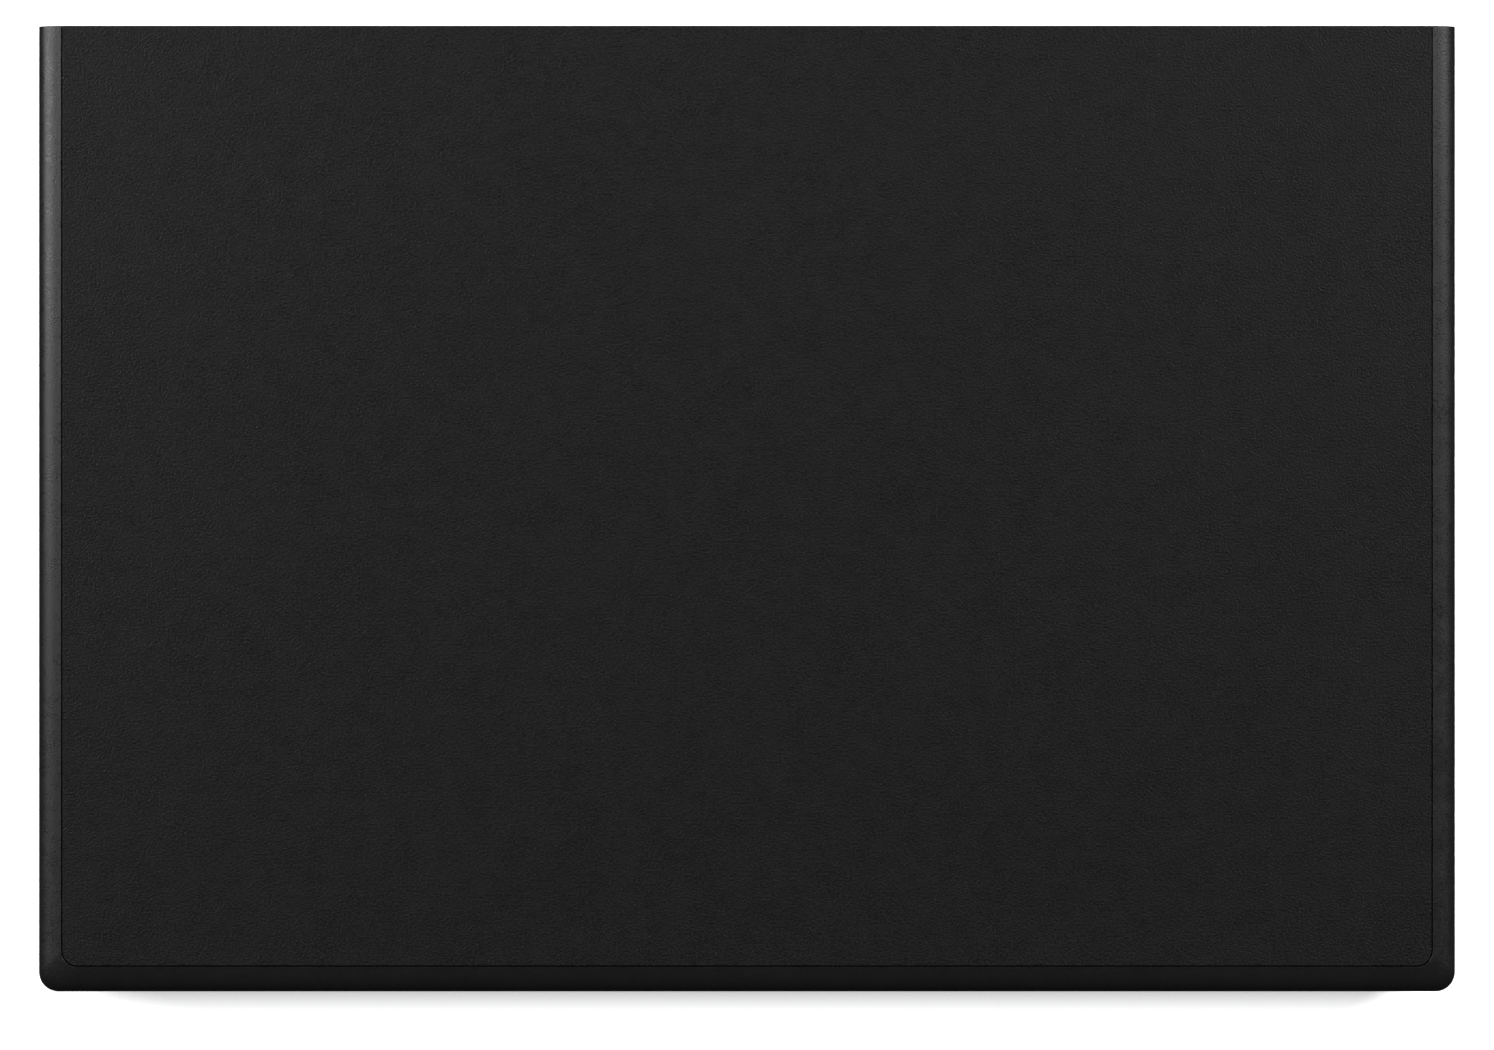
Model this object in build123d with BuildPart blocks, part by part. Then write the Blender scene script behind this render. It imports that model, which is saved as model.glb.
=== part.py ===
"""A4 flatbed scanner with a contact image sensor, lid closed.

+X is to the right, +Y to the rear (hinge side), +Z up. The origin is on the table, under the middle.
All sizes are in millimetres.
"""

import os
from math import acos, cos, degrees, pi, radians, sin, sqrt, tan

from build123d import *

os.makedirs("parts", exist_ok=True)

# ---------------------------------------------------------------- driving dimensions

# overall
case_width = 364.0
case_depth = 248.0
base_top = 27.5
lid_gap = 0.3
lid_thickness = 11.2
lid_overhang = 1.5
rear_inset = 0.3
front_corner_radius = 5.0
rear_corner_radius = 0.8

# housing
wall = 2.2
foot_stand = 2.0
floor_thickness = 2.2
seam_height = 14.8
side_draft = 3.0
bottom_bevel = 1.2
bezel_side = 31.5
bezel_front = 13.0
bezel_rear = 17.0
bezel_plate = 2.5
window_lip = 1.2
step_drop = 2.0

# platen
glass_thickness = 2.8
glass_margin = 4.0
tape_thickness = 0.1
bonding_gap = 0.3

# lid
rim_width = 6.4
rim_fall = 0.9
rim_rounding = 3.0
groove_width = 0.3
panel_thickness = 1.8
panel_corner_radius = 3.7
lid_plate = 2.0
liner_thickness = 2.0
liner_recess = 0.4
mat_margin = 1.0
mat_thickness = 0.5
mat_clearance = 0.3
bumper_radius = 4.0
bumper_thickness = 0.6

# hinge
hinge_spacing = 240.0
hinge_inset = 6.0
hinge_drop = 6.0
pin_radius = 1.5
pin_clearance = 0.05
post_width = 24.0
post_thickness = 5.0
knuckle_radius = 3.4
post_lift = 12.0
post_clearance = 0.3
sleeve_wall = 1.6
lug_thickness = 4.0
catch_width = 10.0
catch_height = 1.3

# guide rod, rack and carriage
rod_radius = 2.5
rod_rise = 5.0
rod_clearance = 0.04
bushing_wall = 1.0
bushing_length = 8.0
holder_thickness = 6.0
holder_half = 7.0
holder_clearance = 0.4
rack_back = 8.5
rack_pitch_line = 13.0
rack_height = 5.2
cradle_plate = 1.0
cradle_half = 12.0
bearing_half = 7.0
bearing_reach = 18.0
motor_reach = 26.0
gear_offset = 16.0
motor_offset = 17.5

# gears
pressure = radians(20)
addendum = 0.9
dedendum = 1.25
backlash = 0.1
rack_module = 0.6
rack_gear_teeth = 18
drive_module = 0.4
drive_gear_teeth = 45
pinion_teeth = 15
gear_bore_clearance = 0.05
axle_radius = 1.0
motor_radius = 7.5
motor_height = 8.2
shaft_radius = 0.75

# sensor bar
bar_half = 8.5
bar_height = 7.2
bar_rise = 1.0
bar_end = 1.0
pad_clearance = 0.3
pad_thickness = 0.7
pad_half = 6.4
cover_glass_thickness = 0.8

# front controls
button_width = 12.0
button_height = 5.0
button_pitch = 18.0
button_count = 4
button_edge = 22.0
button_level = 20.5
button_travel = 0.8
button_proud = 0.4
button_gap = 0.2
press_gap = 0.1

# boards and fasteners
board_thickness = 1.6
main_board_length = 86.0
main_board_depth = 41.0
main_board_left = -100.0
standoff_height = 2.8
screw_radius = 1.45
screw_head_radius = 2.8
screw_head_height = 2.0
screw_hole_clearance = 0.05
foot_radius = 7.0
foot_inset = 22.0
foot_pocket = 1.0
cable_width = 10.0
cable_thickness = 0.3

# Small features and shared allowances
embed = 0.1
overcut = 1.0
rib_half = 0.6
tray_rib_height = 2.4
pillar_radius = 4.5
pillar_rise = 6.4
screw_pocket_depth = 3.6
upper_boss_radius = 3.5
standoff_radius = 3.0
board_screw_radius = 1.15
board_screw_head = 2.2
motor_ear_reach = 10.6
motor_screw_radius = 0.95
stake_radius = 1.0
stake_count = 4
vent_count = 5
vent_pitch = 5.0
vent_half = 1.0
vent_height = 4.0
usb_width = 9.0
usb_height = 3.2
usb_depth = 8.0
usb_wall = 0.3
lamp_width = 5.0
lamp_height = 2.0
lamp_clearance = 0.05
tongue_half = 8.0
tongue_reach = 4.0
spring_coil_radius = 2.2
spring_wire_radius = 0.22
spring_pitch = 1.05
spring_pocket_radius = 3.2
spring_pocket_depth = 3.0
spring_inset = 16.0
liner_gap = 0.3
step_clearance = 3.6

# ---------------------------------------------------------------- places worked out from them

lid_half = case_width / 2
lid_front = -case_depth / 2
lid_rear = case_depth / 2
lid_bottom = base_top + lid_gap
lid_top = lid_bottom + lid_thickness
base_half = lid_half - lid_overhang
base_front = lid_front + lid_overhang
base_rear = lid_rear - rear_inset
inner_front = base_front + wall
inner_rear = base_rear - wall
floor_top = foot_stand + floor_thickness

window_half = lid_half - bezel_side
window_front = lid_front + bezel_front
window_rear = lid_rear - bezel_rear
window_middle = (window_front + window_rear) / 2
window_depth = window_rear - window_front
glass_half = window_half + glass_margin
tape_top = base_top - window_lip
glass_top = tape_top - tape_thickness
glass_bottom = glass_top - glass_thickness

hinge_y = lid_rear - hinge_inset
hinge_z = lid_top - hinge_drop
hinge_x = hinge_spacing / 2
step_top = base_top - step_drop
step_front = hinge_y - step_clearance
well_half = post_width / 2 + post_clearance
well_front = hinge_y - post_thickness / 2 - post_clearance
well_rear = hinge_y + post_thickness / 2 + post_clearance
well_bottom = floor_top + 1.1
post_bottom = well_bottom + post_clearance
notch_half = well_half + post_clearance

rod_z = floor_top + rod_rise
pad_top = glass_bottom - pad_clearance
bar_top = pad_top - pad_thickness
bar_bottom = bar_top - bar_height
cradle_top = bar_bottom - bar_rise
cradle_bottom = cradle_top - cradle_plate
home = -window_half - glass_margin / 2
travel = 2 * window_half + 1
bar_depth = window_depth + 2 * bar_end
rack_radius = rack_module * rack_gear_teeth / 2
drive_radius = drive_module * drive_gear_teeth / 2
pinion_radius = drive_module * pinion_teeth / 2
gear_x = home + gear_offset
gear_y = rack_pitch_line + rack_radius
motor_x = home + motor_offset
centre_distance = drive_radius + pinion_radius
motor_y = gear_y + sqrt(centre_distance**2 - (motor_x - gear_x) ** 2)
mesh_angle = degrees(acos((motor_x - gear_x) / centre_distance))
gear_bottom = floor_top + 0.7
drive_gear_bottom = cradle_bottom - 3.2
drive_gear_top = cradle_bottom - 0.3
holder_outer = base_half - wall - side_draft - 0.2

button_x = [base_half - button_edge - i * button_pitch for i in range(button_count)]
button_names = ["start", "copy", "send", "file"]
switch_face = inner_front + 2.4
switch_back = switch_face + 1.9
lamp_x = button_x[-1] - button_pitch

board_bottom = floor_top + standoff_height
board_top = board_bottom + board_thickness
board_right = main_board_left + main_board_length
board_rear = inner_rear - 2.5
board_front = board_rear - main_board_depth
usb_x = main_board_left + 40.0
cable_y = board_front + 20.0

corner_screws = [(sx * (base_half - 9), y) for sx in (-1, 1) for y in (inner_front + 10, inner_rear - 17)]
housing_screws_at = corner_screws + [(0, inner_rear - 5)]
tongue_x = [-hinge_x, -hinge_x / 2, 0, hinge_x / 2]
board_screws_at = [
    (x, y) for x in (main_board_left + 5, board_right - 5) for y in (board_front + 4, board_rear - 4)
]
liner_screws_at = [(sx * (lid_half - 14), y) for sx in (-1, 1) for y in (lid_front + 24, 0, lid_rear - 36)]
feet_at = [
    (sx * (base_half - foot_inset), y)
    for sx in (-1, 1)
    for y in (base_front + foot_inset, base_rear - foot_inset)
]


# ---------------------------------------------------------------- helpers

def outline(half, front, rear, front_radius, rear_radius, z):
    """Plan outline with its own front and rear corner radii, as a sketch at height z."""
    with BuildSketch(Plane.XY.offset(z)) as plan:
        with Locations((0, (front + rear) / 2)):
            Rectangle(2 * half, rear - front)
        if front_radius:
            fillet(plan.vertices().group_by(Axis.Y)[0], front_radius)
        if rear_radius:
            fillet(plan.vertices().group_by(Axis.Y)[-1], rear_radius)
    return plan.sketch


def base_outline(inset, z, side_inset=0.0):
    """Outline of the housing at height z, moved inward; the rear wall only moves by inset."""
    shift = inset + side_inset
    return outline(
        base_half - shift,
        base_front + shift,
        base_rear - inset,
        max(front_corner_radius - inset, 1.0),
        max(rear_corner_radius, 1.0),
        z,
    )


def tray_draft(z):
    """How far the tray's sides have moved inward at height z."""
    return side_draft * (seam_height - z) / (seam_height - foot_stand)


def block(x0, x1, y0, y1, z0, z1, mode=Mode.ADD):
    """A box given by its limits."""
    with Locations(((x0 + x1) / 2, (y0 + y1) / 2, (z0 + z1) / 2)):
        Box(x1 - x0, y1 - y0, z1 - z0, mode=mode)


def post(x, y, z0, z1, radius, mode=Mode.ADD):
    """A vertical cylinder given by its place and its two heights."""
    with Locations((x, y, (z0 + z1) / 2)):
        Cylinder(radius, z1 - z0, mode=mode)


def involute(angle):
    return tan(angle) - angle


def gear_outline(teeth, module, phase, z, bore):
    """Involute gear sketch at height z, with one tooth centred on the angle phase (degrees)."""
    pitch_r = teeth * module / 2
    base_r = pitch_r * cos(pressure)
    tip_r = pitch_r + addendum * module
    root_r = pitch_r - dedendum * module
    half_at_base = pi / (2 * teeth) - backlash / (2 * pitch_r) + involute(pressure)
    start_r = max(base_r, root_r)
    flank = [(root_r, half_at_base)] if root_r < base_r else []
    for step in range(4):
        r = start_r + (tip_r - start_r) * step / 3
        flank.append((r, half_at_base - involute(acos(min(1.0, base_r / r)))))
    points = []
    for tooth in range(teeth):
        centre = radians(phase) + 2 * pi * tooth / teeth
        for r, half in flank:
            points.append((r * cos(centre - half), r * sin(centre - half)))
        for r, half in reversed(flank):
            points.append((r * cos(centre + half), r * sin(centre + half)))
    with BuildSketch(Plane.XY.offset(z)) as sketch:
        with BuildLine():
            Polyline(*points, close=True)
        make_face()
        Circle(bore, mode=Mode.SUBTRACT)
    return sketch.sketch


def save(part, name):
    """Label one finished piece and write it to its own file."""
    part.part.label = name
    export_step(part.part, f"parts/{name}.step")


def screws(name, places, head_bottom, shank_top, head_radius=screw_head_radius, down=False):
    """A set of equal pan-head screws; down means that the head is at the top."""
    with BuildPart() as group:
        for x, y in places:
            if down:
                post(x, y, shank_top, head_bottom, screw_radius * head_radius / screw_head_radius)
                post(x, y, head_bottom, head_bottom + screw_head_height * 0.7, head_radius)
            else:
                post(x, y, head_bottom, head_bottom + screw_head_height, head_radius)
                post(x, y, head_bottom + screw_head_height, shank_top, screw_radius)
    save(group, name)


# ---------------------------------------------------------------- lower tray

screw_seat = foot_stand + screw_pocket_depth
pillar_top = foot_stand + pillar_rise
rib_reach = base_half - wall - side_draft - 12
tray_ribs_at = [-90, -62, -34, cable_y - 28, cable_y - 14]
stake_margin = 12
stake_x = [
    gear_x + stake_margin + i * (travel - 2 * stake_margin) / (stake_count - 1) for i in range(stake_count)
]
stake_y = (rack_back + rack_pitch_line - dedendum * rack_module) / 2

with BuildPart() as lower_tray:
    bevel_top = foot_stand + bottom_bevel
    loft(
        [
            base_outline(bottom_bevel, foot_stand, side_draft),
            base_outline(0, bevel_top, tray_draft(bevel_top)),
            base_outline(0, seam_height),
        ],
        ruled=True,
    )
    loft(
        [
            base_outline(wall, floor_top, tray_draft(floor_top)),
            base_outline(wall, seam_height, 0),
        ],
        ruled=True,
        mode=Mode.SUBTRACT,
    )
    for y in tray_ribs_at:
        block(-rib_reach, rib_reach, y - rib_half, y + rib_half,
              floor_top - embed, floor_top + tray_rib_height)
    for x in stake_x:
        post(x, stake_y, floor_top - embed, floor_top + rack_height - 0.2, stake_radius)
    for x, y in housing_screws_at:
        post(x, y, floor_top - embed, pillar_top, pillar_radius)
        post(x, y, foot_stand - overcut, screw_seat, screw_head_radius + 0.4, Mode.SUBTRACT)
        post(x, y, screw_seat - overcut, pillar_top + overcut, screw_radius + 0.25, Mode.SUBTRACT)
    for x, y in board_screws_at:
        post(x, y, floor_top - embed, board_bottom, standoff_radius)
        post(x, y, floor_top, board_bottom + overcut, board_screw_radius + screw_hole_clearance,
             Mode.SUBTRACT)
    for x, y in feet_at:
        post(x, y, foot_stand - overcut, foot_stand + foot_pocket, foot_radius + 0.1, Mode.SUBTRACT)
    for sx in (-1, 1):
        holder_x = sx * (holder_outer - holder_thickness / 2)
        post(holder_x, -holder_half - 6, foot_stand + 0.5, floor_top + 1, 1.5, Mode.SUBTRACT)
    usb_half = usb_width / 2 + 0.1
    block(usb_x - usb_half, usb_x + usb_half, inner_rear - overcut, base_rear + overcut,
          board_top - 0.1, board_top + usb_height + 0.1, Mode.SUBTRACT)
    for x in (usb_x + 14 + vent_pitch * i for i in range(vent_count)):
        block(x - vent_half, x + vent_half, inner_rear - overcut, base_rear + overcut,
              board_top, board_top + vent_height, Mode.SUBTRACT)
save(lower_tray, "lower_tray")

# ---------------------------------------------------------------- upper frame

ceiling = base_top - bezel_plate
rear_ceiling = step_top - bezel_plate
rear_zone = step_front - wall

with BuildPart() as upper_frame:
    extrude(base_outline(0, seam_height), amount=base_top - seam_height)
    fillet(upper_frame.faces().sort_by(Axis.Z)[-1].edges(), 0.6)
    chamfer(upper_frame.faces().sort_by(Axis.Z)[0].edges(), 0.35)
    extrude(base_outline(wall, seam_height), amount=rear_ceiling - seam_height, mode=Mode.SUBTRACT)
    block(-base_half + wall, base_half - wall, inner_front, rear_zone,
          rear_ceiling - 0.1, ceiling, Mode.SUBTRACT)
    block(-glass_half - bonding_gap, glass_half + bonding_gap,
          window_front - glass_margin - bonding_gap, window_rear + glass_margin + bonding_gap,
          ceiling - 1, tape_top, Mode.SUBTRACT)
    block(-window_half, window_half, window_front, window_rear,
          tape_top - 1, base_top + 1, Mode.SUBTRACT)
    block(-base_half - 1, base_half + 1, step_front, base_rear + 1, step_top, base_top + 1, Mode.SUBTRACT)
    for sx in (-1, 1):
        x = sx * hinge_x
        outer = well_half + sleeve_wall
        block(x - outer, x + outer, well_front - sleeve_wall, inner_rear + 0.1,
              seam_height, rear_ceiling + 0.1)
        block(x - outer, x + outer, well_front - sleeve_wall, well_rear, well_bottom - 0.8, seam_height)
        block(x - well_half, x + well_half, well_front, well_rear, well_bottom, base_top, Mode.SUBTRACT)
        catch_half = catch_width / 2 + post_clearance
        block(x - catch_half, x + catch_half, well_front - sleeve_wall - overcut, well_front + overcut,
              well_bottom, post_bottom + post_lift + catch_height + 0.1, Mode.SUBTRACT)
    for x, y in housing_screws_at:
        post(x, y, pillar_top, rear_ceiling + embed, upper_boss_radius)
        if y < rear_zone:
            post(x, y, rear_ceiling, ceiling + embed, upper_boss_radius)
        post(x, y, pillar_top - overcut, rear_ceiling - 1.5, screw_radius + screw_hole_clearance,
             Mode.SUBTRACT)
    for x in button_x:
        with BuildSketch(Plane.XZ.offset(-base_front + 1)) as hole:
            with Locations((x, button_level)):
                SlotOverall(button_width + 2 * button_gap, button_height + 2 * button_gap)
        extrude(amount=-wall - 2, mode=Mode.SUBTRACT)
    with BuildSketch(Plane.XZ.offset(-base_front + 1)) as lamp_hole:
        with Locations((lamp_x, button_level)):
            SlotOverall(lamp_width + 2 * lamp_clearance, lamp_height + 2 * lamp_clearance)
    extrude(amount=-wall - 2, mode=Mode.SUBTRACT)
    for x in (button_x[0] - button_pitch / 2, button_x[2] - button_pitch / 2):
        with Locations(Location((x, (inner_front + switch_back) / 2 - 0.05, button_level), (90, 0, 0))):
            Cylinder(2.0, switch_back - inner_front + 0.1)
    for x in tongue_x:
        block(x - tongue_half, x + tongue_half, inner_front + 1.2, inner_front + 2.4,
              seam_height - tongue_reach, seam_height + 6)
        block(x - tongue_half, x + tongue_half, inner_front - embed, inner_front + 2.4,
              seam_height + 1, seam_height + 6)
save(upper_frame, "upper_frame")

# ---------------------------------------------------------------- platen

with BuildPart() as platen_glass:
    block(-glass_half, glass_half, window_front - glass_margin, window_rear + glass_margin,
          glass_bottom, glass_top)
    chamfer(platen_glass.edges().filter_by(Axis.Z), 1.0)
save(platen_glass, "platen_glass")

tape_edge = glass_margin - 0.4
with BuildPart() as glass_tape:
    block(-window_half - 0.4, window_half + tape_edge, window_front - tape_edge, window_rear + tape_edge,
          glass_top, tape_top)
    block(-window_half - 1, window_half + 0.4, window_front - 0.4, window_rear + 0.4,
          glass_top - 1, tape_top + 1, Mode.SUBTRACT)
save(glass_tape, "glass_tape")

with BuildPart() as calibration_strip:
    block(-window_half - tape_edge, -window_half - 0.6, window_front + 2, window_rear - 2,
          glass_top, tape_top)
save(calibration_strip, "calibration_strip")

# ---------------------------------------------------------------- lid frame, panel and inner parts

recess_bottom = lid_top - panel_thickness
plate_bottom = recess_bottom - lid_plate
panel_half = lid_half - rim_width
panel_front = lid_front + rim_width + 0.5
liner_bottom = lid_bottom + liner_recess
liner_top = liner_bottom + liner_thickness
beyond = lid_rear + 12
sweep_radius = hinge_inset

with BuildPart() as lid_frame:
    loft(
        [
            outline(lid_half, lid_front, beyond, front_corner_radius, 0, lid_top - rim_fall),
            outline(panel_half, panel_front, beyond, panel_corner_radius, 0, lid_top),
        ],
        ruled=True,
    )
    extrude(
        outline(lid_half, lid_front, beyond, front_corner_radius, 0, lid_bottom),
        amount=lid_thickness - rim_fall,
    )
    crown = lid_frame.edges().filter_by(
        lambda e: abs(e.center().Z - (lid_top - rim_fall)) < 0.01 and e.center().Y < lid_rear + 5
    )
    fillet(crown, rim_rounding)
    split(bisect_by=Plane.XZ.offset(-lid_rear), keep=Keep.TOP)
    chamfer(lid_frame.faces().sort_by(Axis.Z)[0].edges().filter_by(
        lambda e: e.center().Y < lid_rear - 1), 0.4)
    rear_edges = lid_frame.edges().filter_by(Axis.Z).filter_by(lambda e: e.center().Y > lid_rear - 0.1)
    fillet(rear_edges, rear_corner_radius)
    extrude(
        outline(panel_half + groove_width, panel_front - groove_width, beyond,
                panel_corner_radius + groove_width, 0, recess_bottom),
        amount=panel_thickness + 1,
        mode=Mode.SUBTRACT,
    )
    extrude(
        outline(lid_half - wall, lid_front + wall, lid_rear - wall, front_corner_radius - wall, 1.0,
                lid_bottom - 1),
        amount=plate_bottom - lid_bottom + 1,
        mode=Mode.SUBTRACT,
    )
    for x, y in liner_screws_at:
        post(x, y, liner_top, plate_bottom + embed, upper_boss_radius)
        post(x, y, liner_top - 1, plate_bottom - 0.5, screw_radius + screw_hole_clearance, Mode.SUBTRACT)
    for sx in (-1, 1):
        x = sx * hinge_x
        lug_outer = notch_half + lug_thickness
        block(x - lug_outer, x + lug_outer, hinge_y - 4.5, lid_rear - wall + 0.1, liner_bottom,
              plate_bottom + 0.1)
        block(x - notch_half, x + notch_half, hinge_y - 6.5, lid_rear + 1, lid_bottom - 1, recess_bottom,
              Mode.SUBTRACT)
        with Locations(Location((x, hinge_y, hinge_z), (0, 90, 0))):
            Cylinder(pin_radius, 2 * lug_outer, mode=Mode.SUBTRACT)
    with BuildSketch(Plane.YZ.offset(-lid_half - 1)) as heel:
        with BuildLine():
            Line((hinge_y, hinge_z - sweep_radius), (lid_rear + 1, hinge_z - sweep_radius))
            Line((lid_rear + 1, hinge_z - sweep_radius), (lid_rear + 1, hinge_z))
            Line((lid_rear + 1, hinge_z), (lid_rear, hinge_z))
            RadiusArc((lid_rear, hinge_z), (hinge_y, hinge_z - sweep_radius), sweep_radius)
        make_face()
    extrude(amount=2 * lid_half + 2, mode=Mode.SUBTRACT)
save(lid_frame, "lid_frame")

with BuildPart() as lid_panel:
    extrude(
        outline(panel_half, panel_front, lid_rear, panel_corner_radius, 0, recess_bottom),
        amount=panel_thickness,
    )
    fillet(lid_panel.faces().sort_by(Axis.Z)[-1].edges(), 0.4)
save(lid_panel, "lid_panel")

with BuildPart() as lid_liner:
    extrude(
        outline(lid_half - wall - liner_gap, lid_front + wall + liner_gap, hinge_y - 7,
                front_corner_radius - wall, 1.0, liner_bottom),
        amount=liner_thickness,
    )
    for x, y in liner_screws_at:
        post(x, y, liner_bottom - 1, liner_bottom + 1.4, 2.7, Mode.SUBTRACT)
        post(x, y, liner_bottom, liner_top + 1, screw_radius + 0.2, Mode.SUBTRACT)
save(lid_liner, "lid_liner")

mat_bottom = glass_top + mat_clearance
mat_half = window_half - mat_margin
with BuildPart() as foam_pad:
    block(-mat_half + 1, mat_half - 1, window_front + mat_margin + 1, window_rear - mat_margin - 1,
          mat_bottom + mat_thickness, liner_bottom)
    fillet(foam_pad.edges().filter_by(Axis.Z), 2.0)
save(foam_pad, "foam_pad")

with BuildPart() as white_mat:
    block(-mat_half, mat_half, window_front + mat_margin, window_rear - mat_margin,
          mat_bottom, mat_bottom + mat_thickness)
    fillet(white_mat.edges().filter_by(Axis.Z), 2.0)
save(white_mat, "white_mat")

with BuildPart() as lid_bumpers:
    for sx in (-1, 1):
        for y in (lid_front + 12, rear_zone - 6):
            post(sx * (lid_half - 12), y, liner_bottom - bumper_thickness, liner_bottom, bumper_radius)
save(lid_bumpers, "lid_bumpers")

with BuildPart() as lid_screws:
    for x, y in liner_screws_at:
        post(x, y, liner_bottom + 0.1, liner_bottom + 1.4, 2.5)
        post(x, y, liner_bottom + 1.4, plate_bottom - 0.7, screw_radius)
save(lid_screws, "lid_screws")

# ---------------------------------------------------------------- hinge posts and pins

for side, sx in (("left", -1), ("right", 1)):
    x = sx * hinge_x
    with BuildPart() as hinge_post:
        with BuildSketch(Plane.YZ.offset(x - post_width / 2)) as profile:
            with Locations((hinge_y, (post_bottom + hinge_z) / 2)):
                Rectangle(post_thickness, hinge_z - post_bottom)
            with Locations((hinge_y, hinge_z)):
                Circle(knuckle_radius)
                Circle(pin_radius + pin_clearance, mode=Mode.SUBTRACT)
        extrude(amount=post_width)
        block(x - catch_width / 2, x + catch_width / 2, well_front - 0.8, hinge_y,
              post_bottom, post_bottom + catch_height)
    save(hinge_post, f"hinge_post_{side}")

    with BuildPart() as hinge_pin:
        with Locations(Location((x, hinge_y, hinge_z), (0, 90, 0))):
            Cylinder(pin_radius, 2 * (notch_half + lug_thickness) - 0.4)
    save(hinge_pin, f"hinge_pin_{side}")

# ---------------------------------------------------------------- guide rod, holders and rack

rod_reach = holder_outer - 1.0
with BuildPart() as guide_rod:
    with Locations(Location((0, 0, rod_z), (0, 90, 0))):
        Cylinder(rod_radius, 2 * rod_reach)
save(guide_rod, "guide_rod")

tab_reach = holder_half + 12
for side, sx in (("left", -1), ("right", 1)):
    x = sx * (holder_outer - holder_thickness / 2)
    with BuildPart() as rod_holder:
        block(x - holder_thickness / 2, x + holder_thickness / 2, -holder_half, holder_half,
              floor_top, cradle_bottom - holder_clearance)
        fillet(rod_holder.edges().filter_by(Axis.X).group_by(Axis.Z)[-1], 3.0)
        block(x - holder_thickness / 2, x + holder_thickness / 2, -tab_reach, -holder_half,
              floor_top, floor_top + 2.5)
        with Locations(Location((sx * rod_reach / 2, 0, rod_z), (0, 90, 0))):
            Cylinder(rod_radius, rod_reach, mode=Mode.SUBTRACT)
        post(x, -holder_half - 6, floor_top - 1, floor_top + 3, screw_radius + 0.1, Mode.SUBTRACT)
    save(rod_holder, f"rod_holder_{side}")

holder_screws_at = [(sx * (holder_outer - holder_thickness / 2), -holder_half - 6) for sx in (-1, 1)]
screws("holder_screws", holder_screws_at, floor_top + 2.5, foot_stand + 0.7, down=True)

tooth_pitch = pi * rack_module
rack_start = gear_x - 8
rack_end = gear_x + travel + 5
tooth_count = int((rack_end - rack_start) / tooth_pitch) - 1
first_tooth = gear_x - (int((gear_x - rack_start) / tooth_pitch) - 0.5) * tooth_pitch
with BuildPart() as drive_rack:
    with BuildSketch(Plane.XY.offset(floor_top)) as rack_plan:
        root = rack_pitch_line - dedendum * rack_module
        tip = rack_pitch_line + addendum * rack_module
        half_pitch_line = tooth_pitch / 4 - backlash / 2
        half_root = half_pitch_line + (rack_pitch_line - root) * tan(pressure)
        half_tip = half_pitch_line - (tip - rack_pitch_line) * tan(pressure)
        teeth = []
        for i in range(tooth_count):
            x = first_tooth + i * tooth_pitch
            teeth += [(x - half_root, root), (x - half_tip, tip)]
            teeth += [(x + half_tip, tip), (x + half_root, root)]
        with BuildLine():
            Polyline((rack_start, rack_back), (rack_start, root), *teeth,
                     (rack_end, root), (rack_end, rack_back), close=True)
        make_face()
        with Locations([(x, stake_y) for x in stake_x]):
            Circle(1.1, mode=Mode.SUBTRACT)
    extrude(amount=rack_height)
save(drive_rack, "drive_rack")

# ---------------------------------------------------------------- carriage

cradle_front = window_front - bar_end - 1.5
cradle_rear = window_rear + bar_end + 1.5
motor_plate_rear = motor_y + 14
motor_top = cradle_top + motor_height
spring_reach = window_depth / 2 - spring_inset

with BuildPart() as carriage_frame:
    block(home - cradle_half, home + cradle_half, cradle_front, cradle_rear, cradle_bottom, cradle_top)
    for sx in (-1, 1):
        x = home + sx * (bar_half + 0.7)
        block(x - 0.5, x + 0.5, cradle_front, cradle_rear, cradle_top, cradle_top + 4)
    for y0, y1 in ((cradle_front, cradle_front + 1.2), (cradle_rear - 1.2, cradle_rear)):
        block(home - cradle_half, home + cradle_half, y0, y1, cradle_top, cradle_top + 4)
    block(home - cradle_half, home + bearing_reach, -bearing_half, bearing_half,
          rod_z - rod_radius - bushing_wall - 0.6, cradle_bottom)
    block(home + cradle_half, home + motor_reach, -bearing_half, motor_plate_rear,
          cradle_bottom, cradle_top)
    with Locations(Location((home + (bearing_reach - cradle_half) / 2, 0, rod_z), (0, 90, 0))):
        Cylinder(rod_radius + 0.5, bearing_reach + cradle_half + 2, mode=Mode.SUBTRACT)
    for x in (home - cradle_half + bushing_length / 2, home + bearing_reach - bushing_length / 2):
        with Locations(Location((x, 0, rod_z), (0, 90, 0))):
            Cylinder(rod_radius + bushing_wall, bushing_length, mode=Mode.SUBTRACT)
    for sy in (-1, 1):
        post(home, window_middle + sy * spring_reach, cradle_top, cradle_top + 1.6, 1.6)
    post(motor_x, motor_y, cradle_bottom - 1, cradle_top + 1, pinion_radius + 1.2, Mode.SUBTRACT)
    post(gear_x, gear_y, cradle_bottom - 1, cradle_top + 1, axle_radius, Mode.SUBTRACT)
    for sy in (-1, 1):
        post(motor_x, motor_y + sy * motor_ear_reach, cradle_bottom - overcut, cradle_top + overcut,
             motor_screw_radius, Mode.SUBTRACT)
    block(home - 6, home + 2, cable_y - 6, cable_y + 6, cradle_bottom - 1, cradle_top + 1, Mode.SUBTRACT)
save(carriage_frame, "carriage_frame")

for side, x in (
    ("left", home - cradle_half + bushing_length / 2),
    ("right", home + bearing_reach - bushing_length / 2),
):
    with BuildPart() as rod_bushing:
        with Locations(Location((x, 0, rod_z), (0, 90, 0))):
            Cylinder(rod_radius + bushing_wall, bushing_length)
            Cylinder(rod_radius + rod_clearance, bushing_length + 1, mode=Mode.SUBTRACT)
    save(rod_bushing, f"rod_bushing_{side}")

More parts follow.
